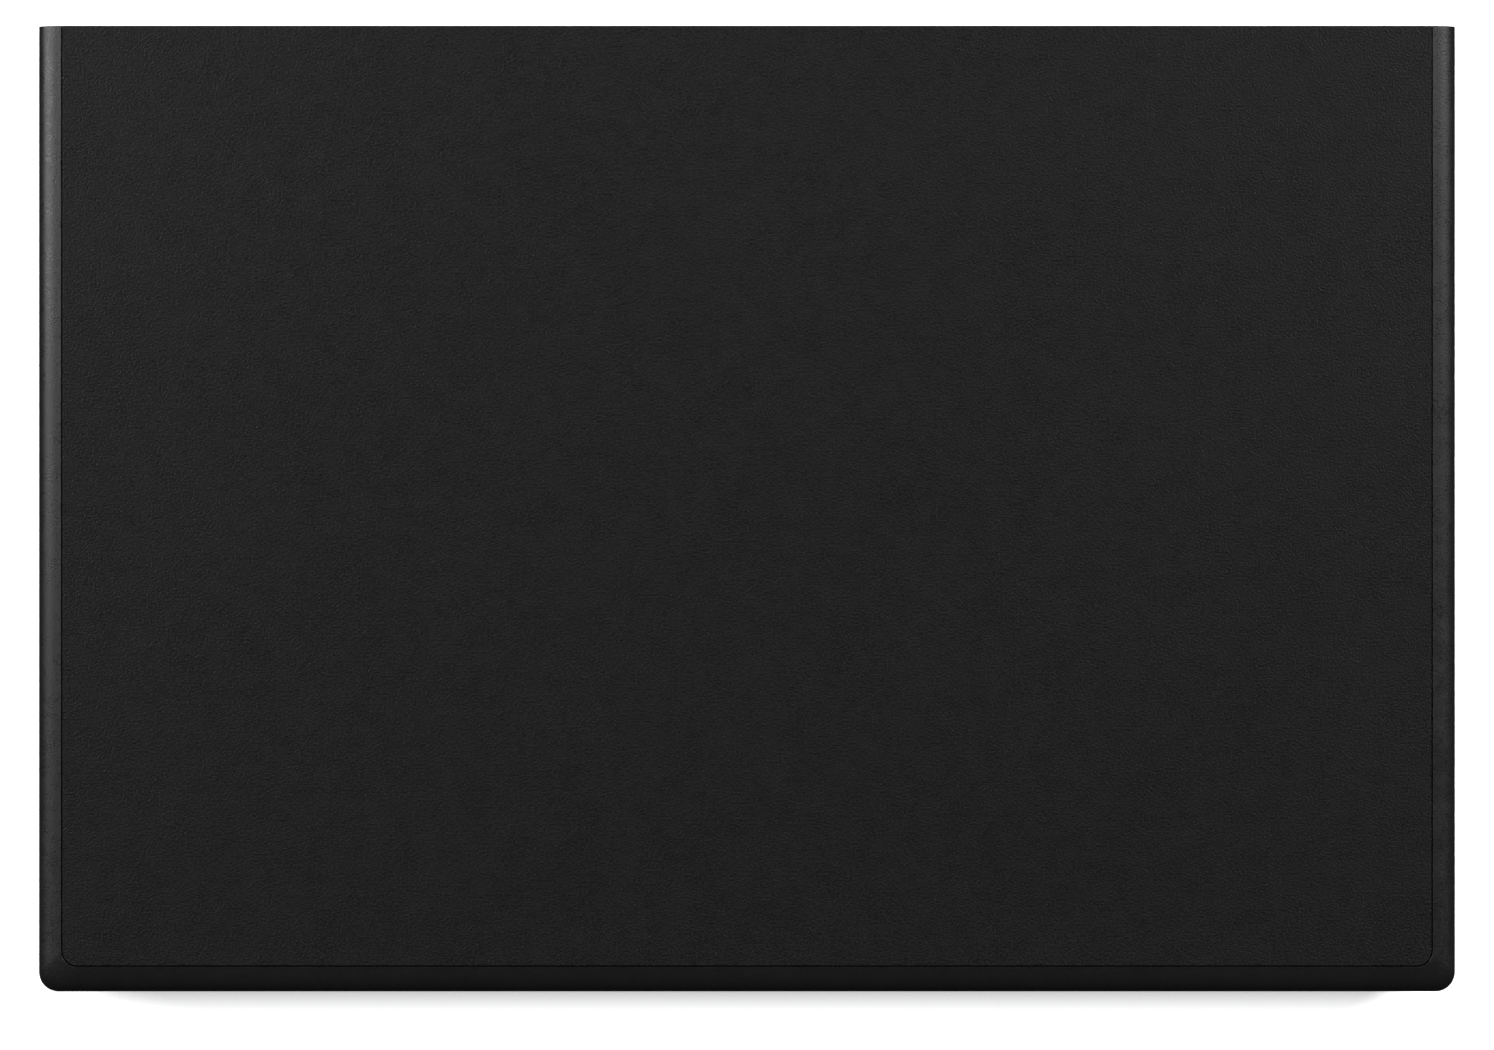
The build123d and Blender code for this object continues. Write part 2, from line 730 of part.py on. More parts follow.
with BuildPart() as motor_can:
    post(motor_x, motor_y, cradle_top, motor_top, motor_radius)
    fillet(motor_can.edges().filter_by(GeomType.CIRCLE).sort_by(Axis.Z)[-1], 0.8)
    with BuildSketch(Plane.XY.offset(cradle_top)) as ears:
        with Locations((motor_x, motor_y)):
            SlotCenterToCenter(2 * motor_ear_reach, 5.0, rotation=90)
    extrude(amount=0.8)
    post(motor_x, motor_y, cradle_top - overcut, motor_top - 1.5, shaft_radius + gear_bore_clearance,
         Mode.SUBTRACT)
    for sy in (-1, 1):
        post(motor_x, motor_y + sy * motor_ear_reach, cradle_top - overcut, cradle_top + 2,
             motor_screw_radius + 0.2, Mode.SUBTRACT)
save(motor_can, "motor_can")

motor_screws_at = [(motor_x, motor_y + sy * motor_ear_reach) for sy in (-1, 1)]
with BuildPart() as motor_screws:
    for x, y in motor_screws_at:
        post(x, y, cradle_bottom + 0.1, cradle_top + 0.8, motor_screw_radius)
        post(x, y, cradle_top + 0.8, cradle_top + 1.9, 1.7)
save(motor_screws, "motor_screws")

with BuildPart() as gear_axle:
    post(gear_x, gear_y, gear_bottom - 0.2, cradle_top, axle_radius)
    post(gear_x, gear_y, gear_bottom - 0.5, gear_bottom - 0.1, 2.0)
save(gear_axle, "gear_axle")

# ---------------------------------------------------------------- rotors and gear

with BuildPart() as reduction_gear:
    with Locations((gear_x, gear_y)):
        add(gear_outline(rack_gear_teeth, rack_module, -90, gear_bottom, axle_radius + gear_bore_clearance))
    extrude(amount=drive_gear_bottom - gear_bottom)
    with Locations((gear_x, gear_y)):
        add(gear_outline(drive_gear_teeth, drive_module, mesh_angle, drive_gear_bottom,
                         axle_radius + gear_bore_clearance))
    extrude(amount=drive_gear_top - drive_gear_bottom)
save(reduction_gear, "reduction_gear")

with BuildPart() as motor_pinion:
    with Locations((motor_x, motor_y)):
        add(gear_outline(pinion_teeth, drive_module, mesh_angle + 180 + 180 / pinion_teeth,
                         drive_gear_bottom + 0.2, shaft_radius))
    extrude(amount=drive_gear_top - drive_gear_bottom)
save(motor_pinion, "motor_pinion")

with BuildPart() as motor_shaft:
    post(motor_x, motor_y, drive_gear_bottom, motor_top - 1.8, shaft_radius)
save(motor_shaft, "motor_shaft")

# ---------------------------------------------------------------- sensor bar

spring_top = bar_bottom + spring_pocket_depth
with BuildPart() as bar_housing:
    block(home - bar_half, home + bar_half, window_front - bar_end, window_rear + bar_end,
          bar_bottom, bar_top)
    chamfer(bar_housing.edges().filter_by(Axis.Y).group_by(Axis.Z)[-1], 0.6)
    block(home - 7, home + 7, window_front, window_rear, bar_top - cover_glass_thickness, bar_top + 1,
          Mode.SUBTRACT)
    block(home - 1.6, home + 1.6, window_front + 1, window_rear - 1, spring_top + 0.3, bar_top,
          Mode.SUBTRACT)
    block(home + 2.4, home + 6.0, window_front + 1, window_rear - 1, bar_top - 4.2, bar_top,
          Mode.SUBTRACT)
    block(home - 6.2, home + 6.2, window_front + 20, window_rear - 20, bar_bottom - 1, bar_bottom + 1.7,
          Mode.SUBTRACT)
    for sy in (-1, 1):
        post(home, window_middle + sy * spring_reach, bar_bottom - overcut, spring_top,
             spring_pocket_radius, Mode.SUBTRACT)
save(bar_housing, "bar_housing")

with BuildPart() as bar_cover_glass:
    block(home - 6.9, home + 6.9, window_front + 0.1, window_rear - 0.1,
          bar_top - cover_glass_thickness, bar_top)
save(bar_cover_glass, "bar_cover_glass")

with BuildPart() as lens_array:
    block(home - 1.5, home + 1.5, window_front + 1.5, window_rear - 1.5,
          spring_top + 0.4, bar_top - cover_glass_thickness - 0.3)
save(lens_array, "lens_array")

with BuildPart() as light_guide:
    block(home + 2.5, home + 5.9, window_front + 1.5, window_rear - 1.5,
          bar_top - 4.1, bar_top - cover_glass_thickness - 0.3)
    chamfer(light_guide.edges().filter_by(Axis.Y).group_by(Axis.Z)[-1], 0.8)
save(light_guide, "light_guide")

with BuildPart() as sensor_board:
    block(home - 6.0, home + 6.0, window_front + 20.2, window_rear - 20.2,
          bar_bottom + 0.7, bar_bottom + 1.7)
save(sensor_board, "sensor_board")

for side, y in (("front", window_front + 6), ("rear", window_rear - 6)):
    with BuildPart() as glide_pad:
        block(home - pad_half, home + pad_half, y - 5, y + 5, bar_top, pad_top)
        chamfer(glide_pad.edges().filter_by(Axis.Y).group_by(Axis.Z)[-1], 0.3)
    save(glide_pad, f"glide_pad_{side}")

with BuildPart() as bar_springs:
    for sy in (-1, 1):
        y = window_middle + sy * spring_reach
        with BuildLine(Plane.XY.offset(cradle_top + 0.25)) as coil:
            Helix(spring_pitch, spring_top - cradle_top - 0.5, spring_coil_radius, center=(home, y, 0))
        start = coil.line @ 0
        with BuildSketch(Plane(origin=start, z_dir=coil.line % 0)):
            Circle(spring_wire_radius)
        sweep(path=coil.line)
save(bar_springs, "bar_springs")

# ---------------------------------------------------------------- front controls

for name, x in zip(button_names, button_x):
    with BuildPart() as button:
        with BuildSketch(Plane.XZ.offset(-base_front + button_proud)):
            with Locations((x, button_level)):
                SlotOverall(button_width, button_height)
        extrude(amount=-(inner_front - base_front + button_proud + press_gap + 0.1))
        fillet(button.faces().sort_by(Axis.Y)[0].edges(), 0.5)
        with BuildSketch(Plane.XZ.offset(-inner_front - press_gap)):
            with Locations((x, button_level)):
                SlotOverall(button_width + 1.2, button_height + 1.2)
        extrude(amount=-0.9)
        plunger_end = switch_face - button_travel
        with Locations(Location((x, (inner_front + plunger_end) / 2, button_level), (90, 0, 0))):
            Cylinder(1.5, plunger_end - inner_front - 2 * press_gap)
    save(button, f"button_{name}")

with BuildPart() as button_switches:
    for x in button_x:
        block(x - 3, x + 3, switch_face + 0.3, switch_back, button_level - 3, button_level + 3)
        with Locations(Location((x, switch_face + 0.2, button_level), (90, 0, 0))):
            Cylinder(1.4, 0.4)
save(button_switches, "button_switches")

with BuildPart() as button_board:
    block(lamp_x - lamp_width, button_x[0] + 7, switch_back, switch_back + 1.2,
          seam_height + 0.3, glass_bottom - 0.4)
save(button_board, "button_board")

with BuildPart() as light_pipe:
    with BuildSketch(Plane.XZ.offset(-base_front + 0.2)):
        with Locations((lamp_x, button_level)):
            SlotOverall(lamp_width, lamp_height)
    extrude(amount=-(switch_back - base_front + 0.1))
save(light_pipe, "light_pipe")

# ---------------------------------------------------------------- main board and cable

with BuildPart() as main_board:
    block(main_board_left, board_right, board_front, board_rear, board_bottom, board_top)
    for x, y in board_screws_at:
        post(x, y, board_bottom - 1, board_top + 1, 1.3, Mode.SUBTRACT)
save(main_board, "main_board")

# Each chip: its centre from the board's front left corner, its width, depth and height.
chips = [
    (22, 18, 12, 12, 1.4),
    (42, 20, 10, 6, 1.2),
    (60, 12, 6, 6, 1.2),
    (58, 26, 8, 5, 1.2),
    (30, 33, 5, 3, 1.1),
]
capacitors_at = [(70, 30), (77, 30)]
capacitor_radius = 2.5
capacitor_height = 3.2

with BuildPart() as board_chips:
    for dx, dy, width, depth, height in chips:
        x = main_board_left + dx
        y = board_front + dy
        block(x - width / 2, x + width / 2, y - depth / 2, y + depth / 2, board_top, board_top + height)
    for dx, dy in capacitors_at:
        post(main_board_left + dx, board_front + dy, board_top, board_top + capacitor_height,
             capacitor_radius)
save(board_chips, "board_chips")

with BuildPart() as board_screws:
    for x, y in board_screws_at:
        post(x, y, board_bottom - 2, board_top, board_screw_radius)
        post(x, y, board_top, board_top + 1.5, board_screw_head)
save(board_screws, "board_screws")

with BuildPart() as usb_socket:
    with BuildSketch(Plane.XZ.offset(-base_rear)):
        with Locations((usb_x, board_top + usb_height / 2)):
            RectangleRounded(usb_width, usb_height, 1.5)
    extrude(amount=usb_depth)
    with BuildSketch(Plane.XZ.offset(-base_rear)):
        with Locations((usb_x, board_top + usb_height / 2)):
            RectangleRounded(usb_width - 2 * usb_wall, usb_height - 2 * usb_wall, 1.25)
    extrude(amount=usb_depth - 1.2, mode=Mode.SUBTRACT)
    block(usb_x - 3.3, usb_x + 3.3, base_rear - 7.0, base_rear - 0.8, board_top + 1.25, board_top + 1.95)
save(usb_socket, "usb_socket")

socket_x = board_right - 9
cable_level = board_top + 1.2
with BuildPart() as cable_socket:
    block(socket_x - 3, socket_x + 2, cable_y - 7, cable_y + 7, board_top, board_top + 2.4)
    block(socket_x - 1, socket_x + 3, cable_y - cable_width / 2 - 0.1, cable_y + cable_width / 2 + 0.1,
          cable_level - 0.2, cable_level + 0.2, Mode.SUBTRACT)
save(cable_socket, "cable_socket")

low = floor_top + 0.2 + cable_thickness / 2
high = cradle_bottom - 0.5
fold_right = board_right + 4
fold_left = home - 8
with BuildPart() as flat_cable:
    with BuildSketch(Plane.XZ.offset(-cable_y - cable_width / 2)) as run:
        with BuildLine() as route:
            Line((socket_x, cable_level), (fold_right, cable_level))
            RadiusArc((fold_right, cable_level), (fold_right, low), (cable_level - low) / 2)
            Line((fold_right, low), (fold_left, low))
            RadiusArc((fold_left, low), (fold_left, high), (high - low) / 2)
            Line((fold_left, high), (home - 2, high))
        trace(line_width=cable_thickness)
    extrude(amount=cable_width)
save(flat_cable, "flat_cable")

# ---------------------------------------------------------------- feet and housing screws

for (x, y), name in zip(feet_at, ("front_left", "rear_left", "front_right", "rear_right")):
    with BuildPart() as foot:
        post(x, y, 0, foot_stand + foot_pocket, foot_radius)
        chamfer(foot.edges().filter_by(GeomType.CIRCLE).sort_by(Axis.Z)[0], 0.5)
    save(foot, f"foot_{name}")

screws("housing_screws", housing_screws_at, screw_seat - screw_head_height, rear_ceiling - 2.5)
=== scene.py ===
# %% [markdown]
# # A flatbed scanner, seen from above
#
# The working model comes in as a fixed frame: every piece is there at its true size and place. This
# lesson keeps the pieces whose shape is already right, gives all of them a finish, and makes finer
# meshes for the pieces that catch the light: the lid's crowned rim, its grained panel, the rubber feet,
# the soft document pad and the small printed signs on the buttons.

import math

import bmesh
import bpy
import numpy as np
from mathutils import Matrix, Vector


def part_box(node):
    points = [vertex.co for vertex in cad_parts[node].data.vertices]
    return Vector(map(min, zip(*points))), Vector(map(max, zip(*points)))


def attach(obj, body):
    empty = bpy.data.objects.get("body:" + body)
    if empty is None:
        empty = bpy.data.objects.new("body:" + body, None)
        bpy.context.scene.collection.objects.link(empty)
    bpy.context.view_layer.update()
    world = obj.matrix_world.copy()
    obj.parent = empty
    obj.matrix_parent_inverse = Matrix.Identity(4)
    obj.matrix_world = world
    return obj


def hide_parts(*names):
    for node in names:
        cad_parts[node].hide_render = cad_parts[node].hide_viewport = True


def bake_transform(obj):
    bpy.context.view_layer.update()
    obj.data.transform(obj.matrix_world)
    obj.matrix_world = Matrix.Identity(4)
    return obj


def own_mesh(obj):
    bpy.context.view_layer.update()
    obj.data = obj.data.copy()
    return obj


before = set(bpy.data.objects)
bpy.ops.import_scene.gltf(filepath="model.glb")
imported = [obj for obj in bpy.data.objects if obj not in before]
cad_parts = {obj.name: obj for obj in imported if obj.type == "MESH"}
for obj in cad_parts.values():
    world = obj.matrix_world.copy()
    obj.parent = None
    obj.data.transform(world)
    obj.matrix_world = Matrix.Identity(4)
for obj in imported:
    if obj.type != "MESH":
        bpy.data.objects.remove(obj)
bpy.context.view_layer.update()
scene = bpy.context.scene
MM = 0.001

# %% [markdown]
# ## Measures that everything shares
#
# Places are read from the frame, so a piece made here sits where the working model has it. A corner of
# a node's box is enough to know the rim's height or the panel's edge.

# %% Measures from the frame
lid_low, lid_high = (Vector(corner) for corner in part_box("lid_frame"))
panel_low, panel_high = (Vector(corner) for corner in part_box("lid_panel"))
lid_top = panel_high.z
groove_width = 0.3 * MM
weld, fine_weld = 0.000002, 0.0000001
print("lid", [round(v / MM, 1) for v in lid_high - lid_low], "mm, top at", round(lid_top / MM, 1))


def middle(node):
    """Centre of a node's box."""
    low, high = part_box(node)
    return (Vector(low) + Vector(high)) / 2


def mesh_object(name, verts, faces):
    """A new mesh object at the origin, with its points already in the scanner's own space."""
    mesh = bpy.data.meshes.new(name)
    mesh.from_pydata([tuple(v) for v in verts], [], faces)
    mesh.update()
    piece = bpy.data.objects.new(name, mesh)
    scene.collection.objects.link(piece)
    return piece


def stacked(name, loops):
    """A closed skin over loops of points that lie one above the other."""
    count, last = len(loops[0]), (len(loops) - 1) * len(loops[0])
    faces = []
    for first in range(0, last, count):
        for i in range(count):
            a, b = first + i, first + (i + 1) % count
            faces.append((a, b, b + count, a + count))
    faces += [tuple(range(count)), tuple(range(last, last + count))]
    return clean(mesh_object(name, [p for loop in loops for p in loop], faces))


def clean(piece, merge=0.00001):
    """Merge doubled points and turn every face outward."""
    work = bmesh.new()
    work.from_mesh(piece.data)
    bmesh.ops.remove_doubles(work, verts=work.verts, dist=merge)
    bmesh.ops.recalc_face_normals(work, faces=work.faces)
    work.to_mesh(piece.data)
    work.free()
    return piece


def stand_in(piece, node, body):
    """Put a piece in a node's place, on the body that carries it."""
    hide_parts(node)
    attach(piece, body)


def smooth(piece, angle=35):
    """Smooth shading that keeps edges sharper than the given angle, led by the large faces."""
    piece.data.shade_smooth()
    piece.data.set_sharp_from_angle(angle=math.radians(angle))
    modifier = piece.modifiers.new("weighted", "WEIGHTED_NORMAL")
    modifier.keep_sharp = True
    graph = bpy.context.evaluated_depsgraph_get()
    mesh = bpy.data.meshes.new_from_object(piece.evaluated_get(graph))
    piece.modifiers.clear()
    old, piece.data = piece.data, mesh
    bpy.data.meshes.remove(old)
    return piece


# %% [markdown]
# ## The camera
#
# The view is straight down on the closed lid. A long lens from high up keeps the sides of the case out
# of sight, so the lid fills the picture as a plain rectangle. The lens and the width of the picture give
# the camera's height.

# %% Camera
picture_width = 383.2 * MM
camera_forward = -4.1 * MM
lens = 150.0
sensor = 36.0
camera_data = bpy.data.cameras.new("camera")
camera_data.lens = lens
camera_data.sensor_width = sensor
camera_data.clip_end = 20
camera = bpy.data.objects.new("camera", camera_data)
camera.location = (0.0, camera_forward, lid_top + picture_width * lens / sensor)
scene.collection.objects.link(camera)
scene.camera = camera
scene.view_settings.view_transform = "Standard"
print("camera", round(camera.location.z, 3), "m above the table")

# %% [markdown]
# ## Tools for materials
#
# Every finish is a node tree with the same skeleton: an Object coordinate drives a noise or a cell
# pattern, which changes the colour a little, the roughness a little more, and pushes the surface in and
# out with a Bump node. A few small helpers keep the trees short to write.


# %% Material helpers
def add_node(tree, kind, links=None, **values):
    """Add a node, set its plain values, and link or fill its named inputs."""
    node = tree.nodes.new(kind)
    for key, value in values.items():
        setattr(node, key, value)
    for key, source in (links or {}).items():
        if isinstance(source, bpy.types.NodeSocket):
            tree.links.new(source, node.inputs[key])
        else:
            node.inputs[key].default_value = source
    return node


def start_material(name):
    """A new material with its shader and its Object coordinate."""
    material = bpy.data.materials.new(name)
    material.use_nodes = True
    tree = material.node_tree
    shader = tree.nodes["Principled BSDF"]
    coordinate = tree.nodes.new("ShaderNodeTexCoord").outputs["Object"]
    return material, tree, shader, coordinate


def maths(tree, operation, first, second):
    """The result of a Math node; each input is a number or a socket."""
    return add_node(tree, "ShaderNodeMath", {0: first, 1: second}, operation=operation).outputs[0]


def noise(tree, coordinate, scale, detail=3.0, roughness=0.5):
    """A noise value; the scale is in cells per metre."""
    return add_node(tree, "ShaderNodeTexNoise", {
        "Vector": coordinate, "Scale": scale, "Detail": detail, "Roughness": roughness,
    }).outputs["Fac"]


def spread(tree, value, low, high, start=0.35, end=0.65):
    """Turn a noise value into numbers between low and high."""
    return add_node(tree, "ShaderNodeMapRange", {
        "Value": value, "From Min": start, "From Max": end, "To Min": low, "To Max": high,
    }).outputs["Result"]


def colour_by(tree, shader, factor, first, second):
    """Colour the shader between the first and the second, as the factor goes from 0 to 1."""
    colours = {"Factor": factor, "A": (*first, 1), "B": (*second, 1)}
    node = add_node(tree, "ShaderNodeMix", colours, data_type="RGBA")
    tree.links.new(node.outputs["Result"], shader.inputs["Base Color"])


def bump(tree, shader, height, distance):
    """Push the shaded surface in and out by a height value."""
    node = add_node(tree, "ShaderNodeBump", {"Height": height, "Distance": distance})
    tree.links.new(node.outputs["Normal"], shader.inputs["Normal"])


def mix_shaders(tree, factor, first, second):
    """A blend of two shaders, all of the second where the factor is 1."""
    node = add_node(tree, "ShaderNodeMixShader", {"Fac": factor, 1: first, 2: second})
    return node.outputs["Shader"]


def moulded_plastic(name, dark, light, rough, grain_size, grain_depth, gloss=0.5, glitter=0.0):
    """Injection-moulded plastic: an eroded grain, faint clouds in the colour, uneven sheen."""
    material, tree, shader, coordinate = start_material(name)
    colour_by(tree, shader, noise(tree, coordinate, 40, 4), dark, light)
    grain = noise(tree, coordinate, 1 / grain_size, 2, 0.6)
    patches = noise(tree, coordinate, 220, 3)
    even = spread(tree, patches, rough[0], rough[1])
    uneven = maths(tree, "ADD", even, spread(tree, grain, -glitter, glitter))
    tree.links.new(uneven, shader.inputs["Roughness"])
    bump(tree, shader, grain, grain_depth)
    shader.inputs["Specular IOR Level"].default_value = gloss
    return material


print("helpers for colour, roughness, relief and blends are ready")

# %% [markdown]
# ## Black plastics
#
# The scanner is all black, yet no two of its parts shine alike. The lid's panel carries the coarse
# spark-eroded grain that hides scratches, the rim around it is a smoother satin, and the case below is
# in between. The difference lies in the size of the grain, its depth and the roughness, not in colour.

# %% Black plastics
panel_plastic = moulded_plastic(
    "panel_plastic", (0.0055, 0.0055, 0.0056), (0.0075, 0.0075, 0.0076), (0.43, 0.49),
    0.55 * MM, 0.2 * MM, gloss=0.27, glitter=0.14,
)
rim_plastic = moulded_plastic(
    "rim_plastic", (0.008, 0.008, 0.0082), (0.011, 0.011, 0.0113), (0.31, 0.39),
    0.45 * MM, 0.036 * MM, gloss=0.46, glitter=0.08,
)
case_plastic = moulded_plastic(
    "case_plastic", (0.011, 0.011, 0.0115), (0.016, 0.016, 0.0165), (0.46, 0.58),
    0.35 * MM, 0.025 * MM, gloss=0.5,
)
liner_plastic = moulded_plastic(
    "liner_plastic", (0.014, 0.014, 0.015), (0.02, 0.02, 0.021), (0.4, 0.52),
    0.5 * MM, 0.012 * MM, gloss=0.5,
)
inner_plastic = moulded_plastic(
    "inner_plastic", (0.03, 0.03, 0.032), (0.045, 0.045, 0.047), (0.42, 0.56),
    0.6 * MM, 0.02 * MM, gloss=0.5,
)
button_plastic = moulded_plastic(
    "button_plastic", (0.02, 0.02, 0.021), (0.026, 0.026, 0.027), (0.2, 0.3),
    0.3 * MM, 0.003 * MM, gloss=0.5,
)
print("black plastics: 6")

# %% [markdown]
# ## Pale plastics, rubber and foam
#
# Gears and rack are acetal, a waxy white plastic that lets a little light in. The document mat is a
# satin white film over grey foam, and the feet are soft black rubber with a dusty bloom.


# %% Pale plastics, rubber and foam
def waxy_plastic(name, colour, rough):
    """Acetal and similar: pale, slightly translucent, with flow marks from the mould."""
    material, tree, shader, coordinate = start_material(name)
    flow = noise(tree, coordinate, 90, 5)
    paler = tuple(min(1.0, c * 1.06) for c in colour)
    colour_by(tree, shader, flow, colour, paler)
    tree.links.new(spread(tree, flow, rough - 0.06, rough + 0.06), shader.inputs["Roughness"])
    bump(tree, shader, noise(tree, coordinate, 1600, 2), 0.004 * MM)
    shader.inputs["Subsurface Weight"].default_value = 0.12
    shader.inputs["Subsurface Scale"].default_value = 0.6 * MM
    return material


def soft_rubber(name, dark, light):
    """Moulded rubber: near black, matt, with a pale bloom that gathers in patches."""
    material, tree, shader, coordinate = start_material(name)
    bloom = noise(tree, coordinate, 300, 5, 0.65)
    colour_by(tree, shader, bloom, dark, light)
    tree.links.new(spread(tree, bloom, 0.7, 0.9), shader.inputs["Roughness"])
    bump(tree, shader, noise(tree, coordinate, 2600, 3), 0.02 * MM)
    shader.inputs["Sheen Weight"].default_value = 0.15
    shader.inputs["Sheen Roughness"].default_value = 0.5
    return material


def open_foam(name, colour):
    """Open-cell foam: round cells of half a millimetre, with painted shade darkening the middle of each
    cell.
    """
    material, tree, shader, coordinate = start_material(name)
    cells = add_node(tree, "ShaderNodeTexVoronoi", {"Vector": coordinate, "Scale": 1900})
    # The same value sinks each cell's middle as bump and paints it darker. That darkening is painted shade
    # in the pit, not the foam's own colour.
    depth = spread(tree, cells.outputs["Distance"], 0.0, 1.0, 0.1, 0.6)
    pore_shade_colour = tuple(c * 0.45 for c in colour)
    colour_by(tree, shader, depth, pore_shade_colour, colour)
    shader.inputs["Roughness"].default_value = 0.95
    shader.inputs["Sheen Weight"].default_value = 0.3
    bump(tree, shader, depth, 0.12 * MM)
    return material


gear_plastic = waxy_plastic("gear_plastic", (0.78, 0.77, 0.72), 0.38)
socket_plastic = waxy_plastic("socket_plastic", (0.74, 0.7, 0.6), 0.45)
pad_plastic = waxy_plastic("pad_plastic", (0.8, 0.8, 0.78), 0.3)
rubber = soft_rubber("rubber", (0.012, 0.012, 0.012), (0.035, 0.035, 0.034))
foam = open_foam("foam", (0.42, 0.43, 0.44))
mat_film = waxy_plastic("mat_film", (0.84, 0.84, 0.83), 0.5)
print("pale and soft finishes: 6")

# %% [markdown]
# ## Metals
#
# The guide rod is ground and plated, so it shows fine rings around its length. Pins, screws and the
# motor's can are plainer steel, and the bushings are bronze that was pressed from powder and soaked in
# oil. Stretching a noise along one axis draws the marks that a tool leaves.


# %% Metals
def worked_metal(name, dark, light, rough, stretch=(1, 1, 1), scale=600, depth=0.004 * MM):
    """Bare or plated metal, with tool marks drawn out across the stretch."""
    material, tree, shader, coordinate = start_material(name)
    mapping = add_node(tree, "ShaderNodeMapping", {"Vector": coordinate, "Scale": stretch})
    marks = noise(tree, mapping.outputs["Vector"], scale, 4, 0.6)
    colour_by(tree, shader, marks, dark, light)
    tree.links.new(spread(tree, marks, rough[0], rough[1]), shader.inputs["Roughness"])
    bump(tree, shader, marks, depth)
    shader.inputs["Metallic"].default_value = 1.0
    return material


rod_metal = worked_metal("rod_metal", (0.62, 0.62, 0.63), (0.75, 0.75, 0.76), (0.12, 0.22), (6, 1, 1))
pin_metal = worked_metal("pin_metal", (0.5, 0.5, 0.51), (0.64, 0.64, 0.64), (0.25, 0.4), (1, 4, 4))
screw_metal = worked_metal("screw_metal", (0.55, 0.55, 0.53), (0.7, 0.7, 0.67), (0.25, 0.42))
black_zinc = worked_metal("black_zinc", (0.03, 0.03, 0.032), (0.06, 0.06, 0.062), (0.3, 0.48))
can_metal = worked_metal("can_metal", (0.45, 0.45, 0.44), (0.58, 0.58, 0.56), (0.28, 0.42), (1, 1, 8))
bronze = worked_metal(
    "bronze", (0.32, 0.19, 0.09), (0.5, 0.33, 0.16), (0.4, 0.6), scale=2400, depth=0.02 * MM
)
print("metals: 6")

# %% [markdown]
# ## Glass
#
# The platen is a float glass plate with ground edges. Seen straight it is clear, seen along its edge it
# is green. A clear shader mixed with a thin gloss by the angle of view is far quicker to render than
# true refraction, and through a flat plate it looks the same.


# %% Glass
def plate_glass(name, tint, clearness):
    """Flat glass: nearly clear face on, glossy at a slant, with faint wipe marks in the gloss."""
    material, tree, shader, coordinate = start_material(name)
    smears = noise(tree, coordinate, 26, 5, 0.62)
    shader.inputs["Base Color"].default_value = (0.004, 0.006, 0.005, 1)
    shader.inputs["IOR"].default_value = 1.52
    shader.inputs["Transmission Weight"].default_value = 0.0
    tree.links.new(spread(tree, smears, 0.02, 0.12), shader.inputs["Roughness"])
    clear = add_node(tree, "ShaderNodeBsdfTransparent", {"Color": (*tint, 1)}).outputs["BSDF"]
    angle = add_node(tree, "ShaderNodeLayerWeight", {"Blend": 0.35}).outputs["Facing"]
    share = spread(tree, angle, 1 - clearness, 0.75, 0.0, 1.0)
    blend = mix_shaders(tree, share, clear, shader.outputs["BSDF"])
    tree.links.new(blend, tree.nodes["Material Output"].inputs["Surface"])
    return material


platen_clear = plate_glass("platen_clear", (0.9, 0.97, 0.94), 0.94)
cover_clear = plate_glass("cover_clear", (0.86, 0.93, 0.96), 0.85)
guide_clear = plate_glass("guide_clear", (0.93, 0.97, 1.0), 0.6)
print("glass: 3")

# %% [markdown]
# ## Circuit boards and film
#
# A board is green lacquer over copper: where a track runs, the lacquer stands a little proud and looks
# lighter. A brick pattern turned on its side makes believable parallel tracks. The flat cable is clear
# film over tinned strips, so its pattern is a simple set of stripes across its width.


# %% Circuit boards and film
def board_lacquer(name):
    """Green solder mask with lighter tracks under it."""
    material, tree, shader, coordinate = start_material(name)
    value = add_node(tree, "ShaderNodeTexBrick", {
        "Vector": coordinate, "Scale": 160, "Mortar Size": 0.035,
        "Color1": (0, 0, 0, 1), "Color2": (0.12, 0.12, 0.12, 1), "Mortar": (1, 1, 1, 1),
    }).outputs["Color"]
    colour_by(tree, shader, value, (0.006, 0.07, 0.03), (0.02, 0.19, 0.075))
    shader.inputs["Roughness"].default_value = 0.28
    shader.inputs["Coat Weight"].default_value = 0.3
    bump(tree, shader, value, 0.03 * MM)
    return material


def striped_film(name):
    """Flat cable: white film with tinned strips one millimetre apart."""
    material, tree, shader, coordinate = start_material(name)
    waves = {"Vector": coordinate, "Scale": 1000 / math.pi}
    stripes = add_node(tree, "ShaderNodeTexWave", waves, bands_direction="Y")
    value = spread(tree, stripes.outputs["Fac"], 0.0, 1.0, 0.45, 0.6)
    colour_by(tree, shader, value, (0.75, 0.76, 0.78), (0.5, 0.52, 0.55))
    tree.links.new(spread(tree, value, 0.4, 0.25, 0, 1), shader.inputs["Roughness"])
    bump(tree, shader, value, 0.02 * MM)
    return material


lacquer = board_lacquer("lacquer")
cable_film = striped_film("cable_film")
chip_epoxy = moulded_plastic(
    "chip_epoxy", (0.015, 0.015, 0.016), (0.022, 0.022, 0.023), (0.55, 0.7), 0.12 * MM, 0.01 * MM
)
tape_black = moulded_plastic(
    "tape_black", (0.008, 0.008, 0.008), (0.013, 0.013, 0.013), (0.5, 0.7), 0.8 * MM, 0.01 * MM
)
strip_white = waxy_plastic("strip_white", (0.86, 0.86, 0.85), 0.7)
lamp_plastic = waxy_plastic("lamp_plastic", (0.55, 0.72, 0.62), 0.22)
print("boards and film: 6")

# %% [markdown]
# ## Finishes onto the pieces that stay
#
# Most inner pieces keep the working model's mesh, and only need their finish. One table says which
# node wears which, so a change of finish is a change of one line.

